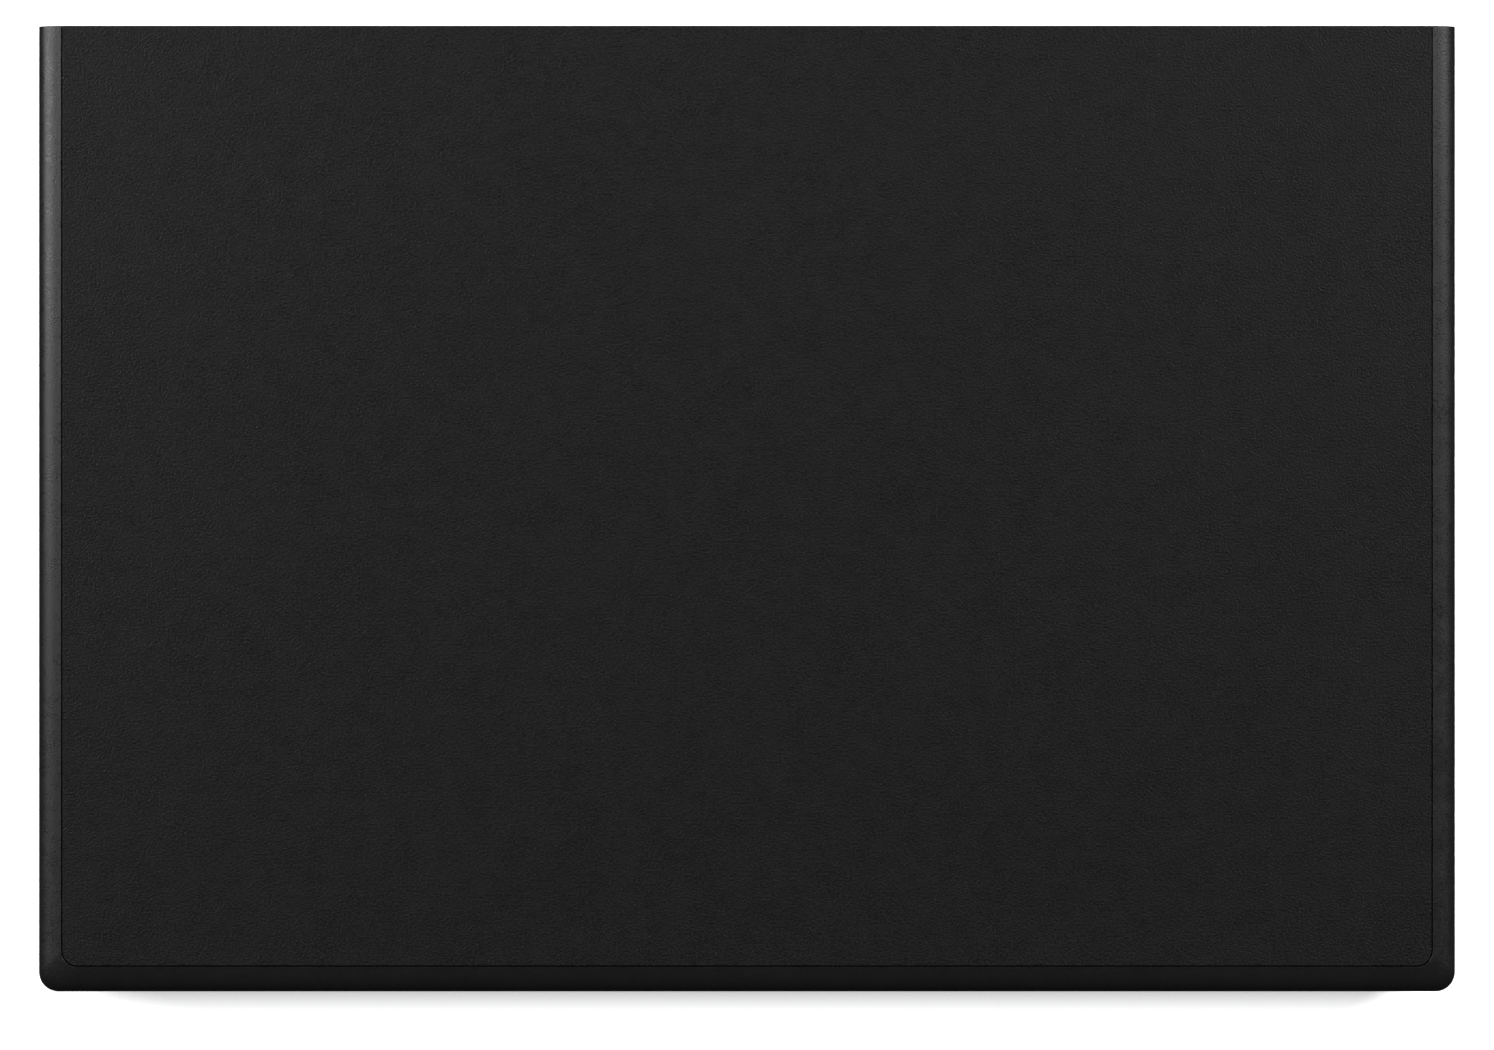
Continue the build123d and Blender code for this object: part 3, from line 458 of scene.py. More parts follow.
# %% Finishes onto nodes
worn_by = {
    inner_plastic: ["carriage_frame", "rod_holder_left", "rod_holder_right", "bar_housing"],
    gear_plastic: ["drive_rack", "reduction_gear", "motor_pinion"],
    socket_plastic: ["cable_socket"],
    pad_plastic: ["glide_pad_front", "glide_pad_rear"],
    rubber: ["lid_bumpers"],
    pin_metal: ["hinge_pin_left", "hinge_pin_right", "gear_axle", "motor_shaft"],
    screw_metal: ["usb_socket"],
    bronze: ["rod_bushing_left", "rod_bushing_right"],
    platen_clear: ["platen_glass"],
    cover_clear: ["bar_cover_glass"],
    guide_clear: ["light_guide"],
    lacquer: ["main_board", "button_board", "sensor_board"],
    chip_epoxy: ["board_chips", "button_switches", "lens_array"],
    tape_black: ["glass_tape"],
    strip_white: ["calibration_strip"],
    lamp_plastic: ["light_pipe"],
}
for material, nodes in worn_by.items():
    for node in nodes:
        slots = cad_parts[node].data.materials
        slots.clear()
        slots.append(material)
print("nodes finished:", sum(len(nodes) for nodes in worn_by.values()))

# %% [markdown]
# ## The lid's rim
#
# The rim runs round three sides of the lid as one soft crown: nearly level at the groove, steeper and
# steeper outward, upright at the wall. A bevel would give a round of one radius, which catches the light
# in a thin line. Here the crown is a grid between two outlines, the groove's and the wall's, whose height
# follows a formula, so the whole rim takes the light in one broad gradient.


# %% Outline with two rounded front corners
def u_path(half, front, rear, radius, straight=24, corner=12):
    """Points from the rear left, round the front, to the rear right."""
    points = [(-half, rear + (front + radius - rear) * i / straight) for i in range(straight)]
    for i in range(corner + 1):
        turn = math.pi / 2 * i / corner
        points.append((-half + radius - radius * math.cos(turn), front + radius - radius * math.sin(turn)))
    for i in range(1, straight):
        points.append((-half + radius + 2 * (half - radius) * i / straight, front))
    for i in range(corner + 1):
        turn = math.pi / 2 * i / corner
        points.append((half - radius + radius * math.sin(turn), front + radius - radius * math.cos(turn)))
    for i in range(1, straight + 1):
        points.append((half, front + radius + (rear - front - radius) * i / straight))
    return np.array(points)


lid_half = lid_high.x
panel_half = panel_high.x
outer_radius = 5.0 * MM
panel_radius = 3.7 * MM
rear = lid_high.y
outer_path = u_path(lid_half, lid_low.y, rear, outer_radius)
groove_path = u_path(
    panel_half + groove_width, panel_low.y - groove_width, rear, panel_radius + groove_width
)
print("rim outline:", len(outer_path), "points")

# %% [markdown]
# The crown's profile is a function of how far across the rim a point lies, 0 at the groove and 1 at the
# wall. The straight term is the slope right beside the groove, the curved term is the roll over the edge.

# %% The crown
slope, roll = 1.25 * MM, 2.45 * MM
edge_round = 0.12 * MM
lip_depth = 1.6 * MM


def crown_drop(u):
    """How far the rim has fallen below the lid's top, across the rim."""
    return slope * u + roll * (1 - math.sqrt(max(0.0, 1 - u**3.2)))


lip = [(0.0, -lip_depth), (0.0, -edge_round)]
for i in range(1, 5):
    turn = math.pi / 2 * i / 4
    lip.append((edge_round * (1 - math.cos(turn)), -edge_round * (1 - math.sin(turn))))
width = np.linalg.norm(outer_path - groove_path, axis=1)
rows = []
for shift, drop in lip:
    share = (shift / width)[:, None]
    line = groove_path * (1 - share) + outer_path * share
    rows.append([(x, y, lid_top + drop) for x, y in line])
across = [0.5 - 0.5 * math.cos(math.pi * i / 22) for i in range(12)]
across += [1 - 0.5 * (1 - (i + 1) / 16) ** 2 for i in range(16)]
for u in sorted(set(across)):
    if u > 0.08:
        line = groove_path * (1 - u) + outer_path * u
        rows.append([(x, y, lid_top - crown_drop(u)) for x, y in line])
faces = []
count = len(outer_path)
points = [p for row in rows for p in row]
for r in range(len(rows) - 1):
    for i in range(count - 1):
        a = r * count + i
        faces.append((a, a + 1, a + count + 1, a + count))
crown = mesh_object("crown", points, faces)
print("crown:", len(points), "points in", len(rows), "rows")

# %% [markdown]
# The rest of the lid frame, its walls, lugs and notches, is already right, so a copy of the working
# mesh gives it. Its own facetted crown faces are taken away and the fine strip is joined on in their
# place. Merging the copy's doubled points first lets smooth shading run across its facets.

# %% Lid frame from the copy and the crown
body_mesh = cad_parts["lid_frame"].data.copy()
body_mesh.transform(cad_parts["lid_frame"].matrix_world)
lid_rim = bpy.data.objects.new("lid_rim", body_mesh)
scene.collection.objects.link(lid_rim)
work = bmesh.new()
work.from_mesh(body_mesh)
bmesh.ops.remove_doubles(work, verts=work.verts, dist=weld)
slack = 0.02 * MM
rim_inner = panel_half + groove_width - slack
groove_front = panel_low.y - groove_width + slack
crown_foot = lid_top - 3.6 * MM


def on_crown(face):
    """True for the faces that the fine strip stands for."""
    centre = face.calc_center_median()
    outside = abs(centre.x) > rim_inner or centre.y < groove_front
    corner = abs(centre.x) > panel_half - panel_radius and centre.y < panel_low.y + panel_radius
    return centre.z > crown_foot and face.normal.z > 0.02 and (outside or corner)


crown_faces = [f for f in work.faces if on_crown(f)]
bmesh.ops.delete(work, geom=crown_faces, context="FACES")
work.to_mesh(body_mesh)
work.free()
both = [lid_rim, crown]
with bpy.context.temp_override(
    active_object=lid_rim, object=lid_rim, selected_editable_objects=both, selected_objects=both
):
    bpy.ops.object.join()
lid_rim.data.materials.clear()
lid_rim.data.materials.append(rim_plastic)
smooth(lid_rim, 40)
stand_in(lid_rim, "lid_frame", "lid")
print("lid frame: removed", len(crown_faces), "facets, now", len(lid_rim.data.polygons), "faces")

# %% [markdown]
# ## The lid's panel
#
# The panel is a plate let into the rim, with a fine round along its top edge. That small round draws
# the thin light line beside the groove. It is built as loops: each loop is the same outline, a little
# smaller and a little higher than the last.


# %% Panel
def rounded_plate(name, half, front, back, radius, bottom, top, edge, rear_edge):
    """A flat plate with rounded front corners and a rolled top edge."""
    loops = []
    heights = [(0.0, bottom)]
    for i in range(6):
        turn = math.pi / 2 * i / 5
        heights.append((edge * (1 - math.cos(turn)), top - edge * (1 - math.sin(turn))))
    for inset, z in heights:
        rear_inset = inset / edge * rear_edge
        path = u_path(half - inset, front + inset, back - rear_inset, radius - inset)
        loops.append([(x, y, z) for x, y in path])
    return stacked(name, loops)


panel_edge, panel_rear_edge = 0.18 * MM, 0.4 * MM
panel = rounded_plate(
    "top_panel", panel_half, panel_low.y, panel_high.y, panel_radius,
    panel_low.z, panel_high.z, panel_edge, panel_rear_edge,
)
smooth(panel, 30)
panel.data.materials.append(panel_plastic)
stand_in(panel, "lid_panel", "lid")
print("panel:", [round(v / MM, 1) for v in panel.dimensions], "mm")

# %% [markdown]
# ## The housing under the lid
#
# The two halves of the housing keep their shape, but a moulded case has no facets at its corners. A copy
# of the working mesh is merged, so that neighbouring faces share their points, and then shaded smooth
# wherever the turn between two faces is small.


# %% Smooth copies
def smooth_copy(node, name, material, body, angle=32):
    """A merged copy of a node's mesh, smooth where its faces turn only a little."""
    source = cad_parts[node]
    mesh = source.data.copy()
    mesh.transform(source.matrix_world)
    copy = bpy.data.objects.new(name, mesh)
    scene.collection.objects.link(copy)
    clean(copy, weld)
    mesh.materials.clear()
    mesh.materials.append(material)
    smooth(copy, angle)
    stand_in(copy, node, body)
    return copy


smooth_copy("upper_frame", "case_top", case_plastic, "base")
smooth_copy("lower_tray", "case_bottom", case_plastic, "base")
smooth_copy("hinge_post_left", "post_arm_left", case_plastic, "post_left")
smooth_copy("hinge_post_right", "post_arm_right", case_plastic, "post_right")
smooth_copy("lid_liner", "liner_sheet", liner_plastic, "lid")
smooth_copy("guide_rod", "rod", rod_metal, "base")
smooth_copy("motor_can", "can", can_metal, "carriage")
for name in ("start", "copy", "send", "file"):
    smooth_copy("button_" + name, "key_" + name, button_plastic, "button_" + name, 50)
springs = smooth_copy("bar_springs", "spring_pair", screw_metal, "carriage", 60)
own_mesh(springs)
print("smooth copies: 12")

# %% [markdown]
# ## Feet
#
# A rubber foot is a turned shape: a flat sole, a soft shoulder and a few shallow rings that grip the
# table. Turning a profile about its axis gives it directly, and the same profile serves all four feet.


# %% Feet
def turned(name, centre, profile, steps=64):
    """Turn a profile of (radius, height) pairs about an upright axis, closed at both ends."""
    round_once = [2 * math.pi * i / steps for i in range(steps)]
    return stacked(name, [
        [(centre.x + radius * math.cos(t), centre.y + radius * math.sin(t), height) for t in round_once]
        for radius, height in profile
    ])


foot_radius, foot_height = 7 * MM, 3 * MM
shoulder, ring_depth = 0.7 * MM, 0.28 * MM
foot_profile = [(foot_radius * 0.16, 0.15 * MM), (foot_radius * 0.2, 0.0)]
for ring in (0.36, 0.56, 0.74):
    foot_profile += [
        (foot_radius * (ring - 0.05), 0.0),
        (foot_radius * (ring - 0.03), ring_depth),
        (foot_radius * (ring + 0.01), ring_depth),
        (foot_radius * (ring + 0.03), 0.0),
    ]
for i in range(7):
    turn = math.pi / 2 * i / 6
    in_by, up_by = shoulder * (1 - math.sin(turn)), shoulder * (1 - math.cos(turn))
    foot_profile.append((foot_radius - in_by, up_by))
foot_profile.append((foot_radius, foot_height))
for place in ("front_left", "front_right", "rear_left", "rear_right"):
    node = "foot_" + place
    foot = turned("rubber_" + node, middle(node), foot_profile)
    foot.data.materials.append(rubber)
    smooth(foot, 30)
    stand_in(foot, node, "base")
print("feet: 4")

# %% [markdown]
# ## The document pad
#
# Under the lid a sheet of soft foam presses a white film onto the paper. Foam is cut with a knife, so its
# edge is square but never quite straight. Both sheets are stacks of loops, like the panel, whose
# edges are rolled and whose outline wanders by a few tenths of a millimetre.

# %% Foam and film
foam_low, foam_high = (Vector(corner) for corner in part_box("foam_pad"))
mat_low, mat_high = (Vector(corner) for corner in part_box("white_mat"))


def drawn_in(value, half, shrink, corner):
    """A coordinate moved inward, where it lies near its own side."""
    return value - shrink * value / half if abs(abs(value) - half) < corner else value


def soft_plate(name, low, high, corner, edge, wander):
    """A soft plate: rounded corners, rolled edges, and an outline that is not quite straight."""
    centre = (low + high) / 2
    half = (high - low) / 2
    ring = []
    per_corner = 8
    for sx, sy, start in ((1, 1, 0), (-1, 1, 90), (-1, -1, 180), (1, -1, 270)):
        for i in range(per_corner + 1):
            turn = math.radians(start + 90 * i / per_corner)
            ring.append((
                sx * (half.x - corner) + corner * math.cos(turn),
                sy * (half.y - corner) + corner * math.sin(turn),
            ))
    fine = []
    for (x0, y0), (x1, y1) in zip(ring, ring[1:] + ring[:1]):
        length = math.hypot(x1 - x0, y1 - y0)
        parts = max(1, int(length / (4 * MM)))
        fine += [(x0 + (x1 - x0) * k / parts, y0 + (y1 - y0) * k / parts) for k in range(parts)]
    levels = []
    for i in range(5):
        turn = math.pi / 2 * i / 4
        levels.append((edge * (1 - math.sin(turn)), low.z + edge * (1 - math.cos(turn))))
    for i in range(5):
        turn = math.pi / 2 * i / 4
        levels.append((edge * (1 - math.cos(turn)), high.z - edge * (1 - math.sin(turn))))
    loops = []
    for inset, z in levels:
        loop = []
        for x, y in fine:
            wave = wander * (0.5 + 0.25 * math.sin(x * 61) + 0.25 * math.sin(y * 83 + x * 17))
            moved_x = centre.x + drawn_in(x, half.x, inset + wave, corner)
            moved_y = centre.y + drawn_in(y, half.y, inset + wave, corner)
            loop.append((moved_x, moved_y, z))
        loops.append(loop)
    return stacked(name, loops)


foam_sheet = soft_plate("foam_sheet", foam_low, foam_high, 2 * MM, 0.25 * MM, 0.35 * MM)
foam_sheet.data.materials.append(foam)
smooth(foam_sheet, 40)
stand_in(foam_sheet, "foam_pad", "lid")
film = soft_plate("document_film", mat_low, mat_high, 2 * MM, 0.15 * MM, 0.1 * MM)
film.data.materials.append(mat_film)
smooth(film, 40)
stand_in(film, "white_mat", "lid")
print("pad:", [round(v / MM, 1) for v in foam_sheet.dimensions], "mm")

# %% [markdown]
# ## Screws
#
# A pan-head screw is a domed disc with a cross cut into it, on a plain shank. The shape is the same for
# all of them and only its sizes change, which is the kind of thing that a node tree does well: it makes
# one screw from named sizes, cuts the cross with a Boolean, and sets a copy on every point it is given.


# %% A tree that sets screws on points
def new_tree(name, sizes):
    """An empty geometry tree with a geometry socket and the named sizes as inputs."""
    tree = bpy.data.node_groups.new(name, "GeometryNodeTree")
    tree.interface.new_socket("Geometry", in_out="INPUT", socket_type="NodeSocketGeometry")
    for size, value in sizes.items():
        socket = tree.interface.new_socket(size, in_out="INPUT", socket_type="NodeSocketFloat")
        socket.default_value = value
    tree.interface.new_socket("Geometry", in_out="OUTPUT", socket_type="NodeSocketGeometry")
    given = tree.nodes.new("NodeGroupInput").outputs
    result = tree.nodes.new("NodeGroupOutput").inputs["Geometry"]
    return tree, given, result


def xyz(tree, x=0.0, y=0.0, z=0.0):
    """A vector from three numbers or sockets."""
    return add_node(tree, "ShaderNodeCombineXYZ", {"X": x, "Y": y, "Z": z}).outputs[0]


def bar(tree, size, offset):
    """A box of the given size with its middle at the offset."""
    cube = add_node(tree, "GeometryNodeMeshCube", {"Size": size}).outputs["Mesh"]
    placed = {"Geometry": cube, "Translation": offset}
    return add_node(tree, "GeometryNodeTransform", placed).outputs["Geometry"]


def set_on_points(tree, given, result, parts, turn):
    """Join the parts into one piece and set a copy of it on every point."""
    joined = add_node(tree, "GeometryNodeJoinGeometry")
    for part in parts:
        tree.links.new(part, joined.inputs["Geometry"])
    copies = add_node(tree, "GeometryNodeInstanceOnPoints", {
        "Points": given["Geometry"], "Instance": joined.outputs["Geometry"], "Rotation": turn,
    }).outputs["Instances"]
    real = add_node(tree, "GeometryNodeRealizeInstances", {"Geometry": copies}).outputs["Geometry"]
    finish = add_node(tree, "GeometryNodeSetMaterial", {"Geometry": real})
    tree.links.new(finish.outputs["Geometry"], result)


screw_tree, given, result = new_tree("screws", {
    "Head Radius": 2.8 * MM, "Head Height": 2.0 * MM, "Shank Radius": 1.45 * MM,
    "Shank Length": 8 * MM, "Turn": 0.0,
})
head = add_node(screw_tree, "GeometryNodeMeshCylinder", {
    "Vertices": 32, "Fill Segments": 4, "Radius": given["Head Radius"], "Depth": given["Head Height"],
})
place = add_node(screw_tree, "GeometryNodeInputPosition").outputs[0]
parts = add_node(screw_tree, "ShaderNodeSeparateXYZ", {"Vector": place})
flat = xyz(screw_tree, parts.outputs["X"], parts.outputs["Y"])
reach = add_node(screw_tree, "ShaderNodeVectorMath", {0: flat}, operation="LENGTH").outputs["Value"]
share = maths(screw_tree, "DIVIDE", reach, given["Head Radius"])
fall = maths(screw_tree, "MULTIPLY", maths(screw_tree, "POWER", share, 2.5), -0.35)
top_only = maths(screw_tree, "GREATER_THAN", parts.outputs["Z"], 0.0)
domed = add_node(screw_tree, "GeometryNodeSetPosition", {
    "Geometry": head.outputs["Mesh"], "Selection": top_only,
    "Offset": xyz(screw_tree, z=maths(screw_tree, "MULTIPLY", fall, given["Head Height"])),
})
slot_long = maths(screw_tree, "MULTIPLY", given["Head Radius"], 1.15)
slot_wide = maths(screw_tree, "MULTIPLY", given["Head Radius"], 0.26)
slot_high = maths(screw_tree, "MULTIPLY", given["Head Height"], 1.1)
lift = xyz(screw_tree, z=maths(screw_tree, "MULTIPLY", given["Head Height"], 0.6))
cut = add_node(screw_tree, "GeometryNodeMeshBoolean", operation="DIFFERENCE", solver="EXACT")
screw_tree.links.new(domed.outputs["Geometry"], cut.inputs["Mesh 1"])
for size in ((slot_long, slot_wide), (slot_wide, slot_long)):
    cutter = bar(screw_tree, xyz(screw_tree, *size, slot_high), lift)
    screw_tree.links.new(cutter, cut.inputs["Mesh 2"])
half_head = maths(screw_tree, "MULTIPLY", given["Head Height"], 0.5)
raised = add_node(screw_tree, "GeometryNodeTransform", {
    "Geometry": cut.outputs["Mesh"], "Translation": xyz(screw_tree, z=half_head),
})
shank = add_node(screw_tree, "GeometryNodeMeshCylinder", {
    "Vertices": 20, "Radius": given["Shank Radius"], "Depth": given["Shank Length"],
})
half_shank = maths(screw_tree, "MULTIPLY", given["Shank Length"], -0.5)
lowered = add_node(screw_tree, "GeometryNodeTransform", {
    "Geometry": shank.outputs["Mesh"], "Translation": xyz(screw_tree, z=half_shank),
})
solids = [raised.outputs["Geometry"], lowered.outputs["Geometry"]]
set_on_points(screw_tree, given, result, solids, xyz(screw_tree, given["Turn"]))
print("screw tree:", len(screw_tree.nodes), "nodes")

# %% [markdown]
# The points come from the working model. Each screw there is a loose part of its node's mesh, so walking
# over the connected faces gives one box per screw, and the middle of that box is where the screw stands.


# %% Loose parts and running a tree
def loose_boxes(node):
    """The lowest and highest corner of each connected part of a node's mesh."""
    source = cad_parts[node]
    work = bmesh.new()
    work.from_mesh(source.data)
    work.transform(source.matrix_world)
    bmesh.ops.remove_doubles(work, verts=work.verts, dist=weld)
    left, boxes = set(work.verts), []
    while left:
        queue = [left.pop()]
        part = []
        while queue:
            vert = queue.pop()
            part.append(vert.co.copy())
            for edge in vert.link_edges:
                other = edge.other_vert(vert)
                if other in left:
                    left.remove(other)
                    queue.append(other)
        low = Vector([min(p[i] for p in part) for i in range(3)])
        high = Vector([max(p[i] for p in part) for i in range(3)])
        boxes.append((low, high))
    work.free()
    return sorted(boxes, key=lambda b: (round(b[0].x, 4), round(b[0].y, 4)))


def run_tree(name, points, tree, sizes, material, attribute=None):
    """Run a tree on loose points and keep its result as a plain mesh."""
    seed = mesh_object(name + "_points", points, [])
    if attribute:
        key, values = attribute
        layer = seed.data.attributes.new(key, "FLOAT", "POINT")
        layer.data.foreach_set("value", values)
    modifier = seed.modifiers.new("tree", "NODES")
    modifier.node_group = tree
    for item in tree.interface.items_tree:
        if item.item_type == "SOCKET" and item.in_out == "INPUT" and item.name in sizes:
            modifier[item.identifier] = sizes[item.name]
    for node in tree.nodes:
        if node.bl_idname == "GeometryNodeSetMaterial":
            node.inputs["Material"].default_value = material
    graph = bpy.context.evaluated_depsgraph_get()
    mesh = bpy.data.meshes.new_from_object(seed.evaluated_get(graph))
    bpy.data.objects.remove(seed)
    piece = bpy.data.objects.new(name, mesh)
    scene.collection.objects.link(piece)
    mesh.materials.clear()
    mesh.materials.append(material)
    return smooth(piece, 35)


screw_sets = {
    "housing_screws": ("base", black_zinc, "screw_black", 2.8, 2.0, 1.45, True),
    "lid_screws": ("lid", black_zinc, "screw_black", 2.5, 1.3, 1.45, True),
    "holder_screws": ("base", screw_metal, "screw_zinc", 2.8, 1.4, 1.45, False),
    "board_screws": ("base", screw_metal, "screw_zinc", 2.2, 1.5, 1.15, False),
    "motor_screws": ("carriage", screw_metal, "screw_zinc", 1.7, 1.1, 0.95, False),
}
for node, (body, material, slot, head_r, head_h, shank_r, head_down) in screw_sets.items():
    points = []
    for low, high in loose_boxes(node):
        seat = low.z + head_h * MM if head_down else high.z - head_h * MM
        points.append(((low.x + high.x) / 2, (low.y + high.y) / 2, seat))
    length = high.z - low.z - head_h * MM
    sizes = {
        "Head Radius": head_r * MM, "Head Height": head_h * MM, "Shank Radius": shank_r * MM,
        "Shank Length": length, "Turn": math.pi if head_down else 0.0,
    }
    piece = run_tree("set_of_" + node, points, screw_tree, sizes, material)
    stand_in(piece, node, body)
    print(node, len(points), "screws,", len(piece.data.polygons), "faces")

# %% [markdown]
# ## Pins of the chips
#
# Each chip stands on rows of bent tin legs. One leg is three small bars: a foot on the board, a riser
# and a shoulder at the package. Its turn is stored on the point, so one tree serves all four sides.

# %% Chip legs
pin_tree, given, result = new_tree("legs", {
    "Leg Width": 0.3 * MM, "Leg Rise": 0.55 * MM, "Leg Reach": 0.8 * MM,
})
half_reach = maths(pin_tree, "MULTIPLY", given["Leg Reach"], 0.5)
half_rise = maths(pin_tree, "MULTIPLY", given["Leg Rise"], 0.5)
foot_x = maths(pin_tree, "MULTIPLY", half_reach, 1.5)
shoulder_x = maths(pin_tree, "MULTIPLY", half_reach, 0.5)
thin = 0.14 * MM
flat_size = xyz(pin_tree, half_reach, given["Leg Width"], thin)
riser_size = xyz(pin_tree, thin, given["Leg Width"], given["Leg Rise"])
bars = [
    bar(pin_tree, flat_size, xyz(pin_tree, foot_x, 0.0, thin / 2)),
    bar(pin_tree, riser_size, xyz(pin_tree, half_reach, 0.0, half_rise)),
    bar(pin_tree, flat_size, xyz(pin_tree, shoulder_x, 0.0, given["Leg Rise"])),
]
stored = add_node(pin_tree, "GeometryNodeInputNamedAttribute", {"Name": "turn"}, data_type="FLOAT")
set_on_points(pin_tree, given, result, bars, xyz(pin_tree, z=stored.outputs["Attribute"]))

leg_pitch, leg_margin = 0.8 * MM, 0.5 * MM
tall, long_side, square = 2 * MM, 5.5 * MM, 1 * MM
points, turns = [], []
for low, high in loose_boxes("board_chips"):
    wide, deep = high.x - low.x, high.y - low.y
    if high.z - low.z > tall:
        continue
    if wide >= long_side:
        for i in range(int((wide - 2 * leg_margin) / leg_pitch) + 1):
            x = low.x + leg_margin + i * leg_pitch
            points += [(x, high.y, low.z), (x, low.y, low.z)]
            turns += [math.pi / 2, -math.pi / 2]
    if abs(wide - deep) < square:
        for i in range(int((deep - 2 * leg_margin) / leg_pitch) + 1):
            y = low.y + leg_margin + i * leg_pitch
            points += [(high.x, y, low.z), (low.x, y, low.z)]
            turns += [0.0, math.pi]
legs = run_tree("chip_legs", points, pin_tree, {}, screw_metal, ("turn", turns))
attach(legs, "base")
print("chip legs:", len(points))

# %% [markdown]
# ## Signs on the buttons
#
# Each button carries a small printed sign of its own: a start mark, two pages, an envelope, a page with
# a folded corner. A print is a film of ink, so every sign is a set of thin flat strokes that stand a
# hair above the button and move with it. A stroke is a box along a line, widened at its ends.

# %% Printed signs
ink, tree, shader, coordinate = start_material("ink")
worn = noise(tree, coordinate, 2600, 3)
colour_by(tree, shader, worn, (0.5, 0.5, 0.5), (0.62, 0.62, 0.62))
tree.links.new(spread(tree, worn, 0.4, 0.6), shader.inputs["Roughness"])
bump(tree, shader, worn, 0.002 * MM)
signs = {
    "start": [[(-0.8, -1.1), (1.1, 0.0), (-0.8, 1.1), (-0.8, -1.1)]],
    "copy": [
        [(-1.3, -1.2), (0.5, -1.2), (0.5, 0.8), (-1.3, 0.8), (-1.3, -1.2)],
        [(-0.5, 1.3), (1.3, 1.3), (1.3, -0.7)],
    ],
    "send": [
        [(-1.6, -1.0), (1.6, -1.0), (1.6, 1.0), (-1.6, 1.0), (-1.6, -1.0)],
        [(-1.6, 1.0), (0.0, -0.2), (1.6, 1.0)],
    ],
    "file": [
        [(-1.0, -1.3), (1.0, -1.3), (1.0, 0.6), (0.3, 1.3), (-1.0, 1.3), (-1.0, -1.3)],
        [(-0.5, 0.1), (0.5, 0.1)],
        [(-0.5, -0.6), (0.5, -0.6)],
    ],
}


def strokes(name, lines, centre, face, width=0.28 * MM, height=0.03 * MM):
    """Thin boxes along lines, on a face that looks to the front."""
    verts, faces = [], []
    for line in lines:
        for (x0, z0), (x1, z1) in zip(line, line[1:]):
            a = Vector((centre.x + x0 * MM, 0, centre.z + z0 * MM))
            b = Vector((centre.x + x1 * MM, 0, centre.z + z1 * MM))
            along = (b - a).normalized() * width / 2
            side = Vector((-along.z, 0, along.x))
            first = len(verts)
            for y in (face + 0.01 * MM, face - height):
                for corner in (a - along - side, b + along - side, b + along + side, a - along + side):
                    verts.append((corner.x, y, corner.z))
            faces += [
                (first, first + 1, first + 2, first + 3), (first + 7, first + 6, first + 5, first + 4),
                (first, first + 4, first + 5, first + 1), (first + 1, first + 5, first + 6, first + 2),
                (first + 2, first + 6, first + 7, first + 3), (first + 3, first + 7, first + 4, first),
            ]
    piece = mesh_object(name, verts, faces)
    return clean(piece, fine_weld)


for name, lines in signs.items():
    node = "button_" + name
    sign = strokes("sign_" + name, lines, middle(node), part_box(node)[0][1])
    sign.data.materials.append(ink)
    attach(sign, node)
print("signs:", len(signs))

# %% [markdown]
# ## The flat cable
#
# A flat cable joins the moving carriage to the main board, over a run that lies on the floor.
# Its path is straight runs and two half-circle folds, and the run on the floor is cut into short steps.

# %% Flat cable
cable_low, cable_high = (Vector(corner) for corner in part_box("flat_cable"))
half_film = 0.15 * MM
floor_run = cable_low.z + half_film
carriage_run = cable_high.z - half_film
board_run = 9.8 * MM
board_fold, carriage_fold = -10.0 * MM, -160.5 * MM
socket_end, carriage_end = -23.0 * MM, -154.5 * MM
path = [(socket_end, board_run)]
for i in range(17):
    turn = math.pi * i / 16
    radius = (board_run - floor_run) / 2
    path.append((board_fold + radius * math.sin(turn), floor_run + radius + radius * math.cos(turn)))
steps = 100
for i in range(1, steps):
    path.append((board_fold + (carriage_fold - board_fold) * i / steps, floor_run))
for i in range(17):
    turn = math.pi * i / 16
    radius = (carriage_run - floor_run) / 2
    path.append((carriage_fold - radius * math.sin(turn), floor_run + radius - radius * math.cos(turn)))
path.append((carriage_end, carriage_run))
verts, faces = [], []
for i, (x, z) in enumerate(path):
    before, after = path[max(i - 1, 0)], path[min(i + 1, len(path) - 1)]
    run = math.hypot(after[0] - before[0], after[1] - before[1])
    nx, nz = -(after[1] - before[1]) / run * half_film, (after[0] - before[0]) / run * half_film
    for side in (1, -1):
        for y in (cable_low.y, cable_high.y):
            verts.append((x + side * nx, y, z + side * nz))
for i in range(len(path) - 1):
    a, b = 4 * i, 4 * i + 4
    faces += [(a, a + 1, b + 1, b), (a + 3, a + 2, b + 2, b + 3)]
    faces += [(a + 2, a, b, b + 2), (a + 1, a + 3, b + 3, b + 1)]
last = 4 * (len(path) - 1)
faces += [(0, 2, 3, 1), (last, last + 1, last + 3, last + 2)]
ribbon = clean(mesh_object("ribbon", verts, faces), fine_weld)
ribbon.data.materials.append(cable_film)
smooth(ribbon, 50)
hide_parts("flat_cable")
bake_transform(ribbon)
print("cable:", len(path), "steps along its path")

# %% [markdown]
# ## The floor
#
# The object stands on a white sweep. A white floor would also throw light back up onto the black sides,
# so it looks white to the camera only, and every other ray meets a dark one. Seen from below it is
# clear, so that the feet and the underside can be looked at too.

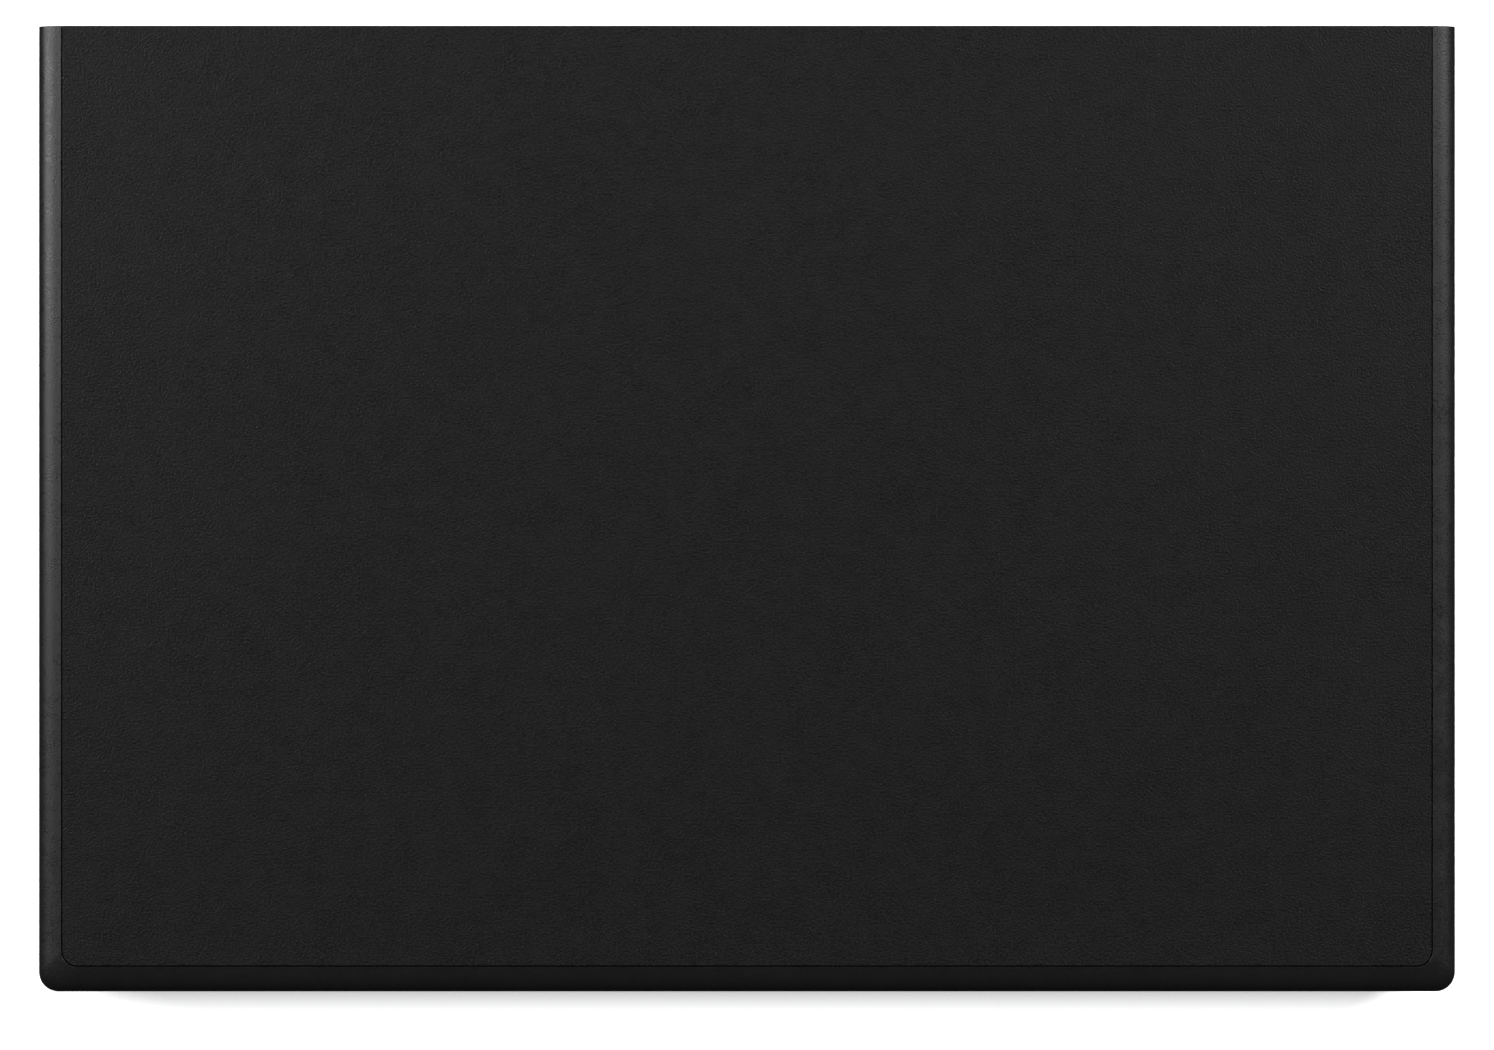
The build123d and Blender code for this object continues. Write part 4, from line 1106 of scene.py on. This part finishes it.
# %% Floor
floor_drop = -0.1 * MM
floor_corners = [(-4, -4), (4, -4), (4, 4), (-4, 4)]
floor = mesh_object("floor", [(x, y, floor_drop) for x, y in floor_corners], [(0, 1, 2, 3)])
floor_paint, tree, shader, coordinate = start_material("floor_paint")
colour_by(tree, shader, noise(tree, coordinate, 3, 3), (0.9, 0.9, 0.9), (0.93, 0.93, 0.93))
shader.inputs["Roughness"].default_value = 0.9
shader.inputs["Emission Color"].default_value = (1, 1, 1, 1)
shader.inputs["Emission Strength"].default_value = 0.52
bump(tree, shader, noise(tree, coordinate, 300, 2), 0.2 * MM)
dim = add_node(tree, "ShaderNodeBsdfDiffuse", {"Color": (0.025, 0.025, 0.025, 1)}).outputs["BSDF"]
seen = add_node(tree, "ShaderNodeLightPath").outputs["Is Camera Ray"]
from_above = mix_shaders(tree, seen, dim, shader.outputs["BSDF"])
backfacing = add_node(tree, "ShaderNodeNewGeometry").outputs["Backfacing"]
nothing = add_node(tree, "ShaderNodeBsdfTransparent").outputs["BSDF"]
one_sided = mix_shaders(tree, backfacing, from_above, nothing)
tree.links.new(one_sided, tree.nodes["Material Output"].inputs["Surface"])
floor.data.materials.append(floor_paint)
floor.visible_shadow = False
print("floor at height", floor_drop / MM, "mm")

# %% [markdown]
# ## The lights
#
# One large soft light hangs behind the object to the left, a weaker one behind it to the right, and the
# space straight above stays dark. A black panel seen from above mirrors whatever hangs over it, so that
# dark gap is what keeps it black while its slopes still catch light. Light linking does the rest: one
# lamp shines on the floor only and draws the shadow at the front edge, and two weak ones show the front
# face and the underside without touching the floor or the rim.


# %% Lights
def soft_light(name, place, size, power, aim=(0, 0, 0.03)):
    """A large rectangular light that faces the object."""
    data = bpy.data.lights.new(name, "AREA")
    data.shape = "RECTANGLE"
    data.size, data.size_y = size
    data.energy = power
    light = bpy.data.objects.new(name, data)
    light.location = place
    light.rotation_euler = (Vector(aim) - Vector(place)).to_track_quat("-Z", "Y").to_euler()
    scene.collection.objects.link(light)
    return light


soft_light("key", (-1.2, 0.62, 0.92), (1.0, 0.8), 24)
soft_light("fill", (1.12, 0.74, 0.92), (0.75, 0.7), 21)
front_fill = soft_light("front_fill", (0.3, -2.3, 0.36), (2.4, 0.4), 15)
under_fill = soft_light("under_fill", (0.2, -0.3, -1.3), (1.0, 1.0), 16)
backdrop = bpy.data.collections.new("backdrop")
backdrop.objects.link(floor)
wash = soft_light("floor_wash", (0.0, 0.33, 2.6), (0.3, 0.56), 53)
wash.light_linking.receiver_collection = backdrop
left_out = bpy.data.collections.new("left_out")
for place, item in enumerate((floor, lid_rim)):
    left_out.objects.link(item)
    left_out.collection_objects[place].light_linking.link_state = "EXCLUDE"
for light in (front_fill, under_fill):
    light.light_linking.receiver_collection = left_out
world = bpy.data.worlds.new("studio")
world.use_nodes = True
world.node_tree.nodes["Background"].inputs["Color"].default_value = (0.95, 0.97, 1.0, 1)
world.node_tree.nodes["Background"].inputs["Strength"].default_value = 0.055
scene.world = world
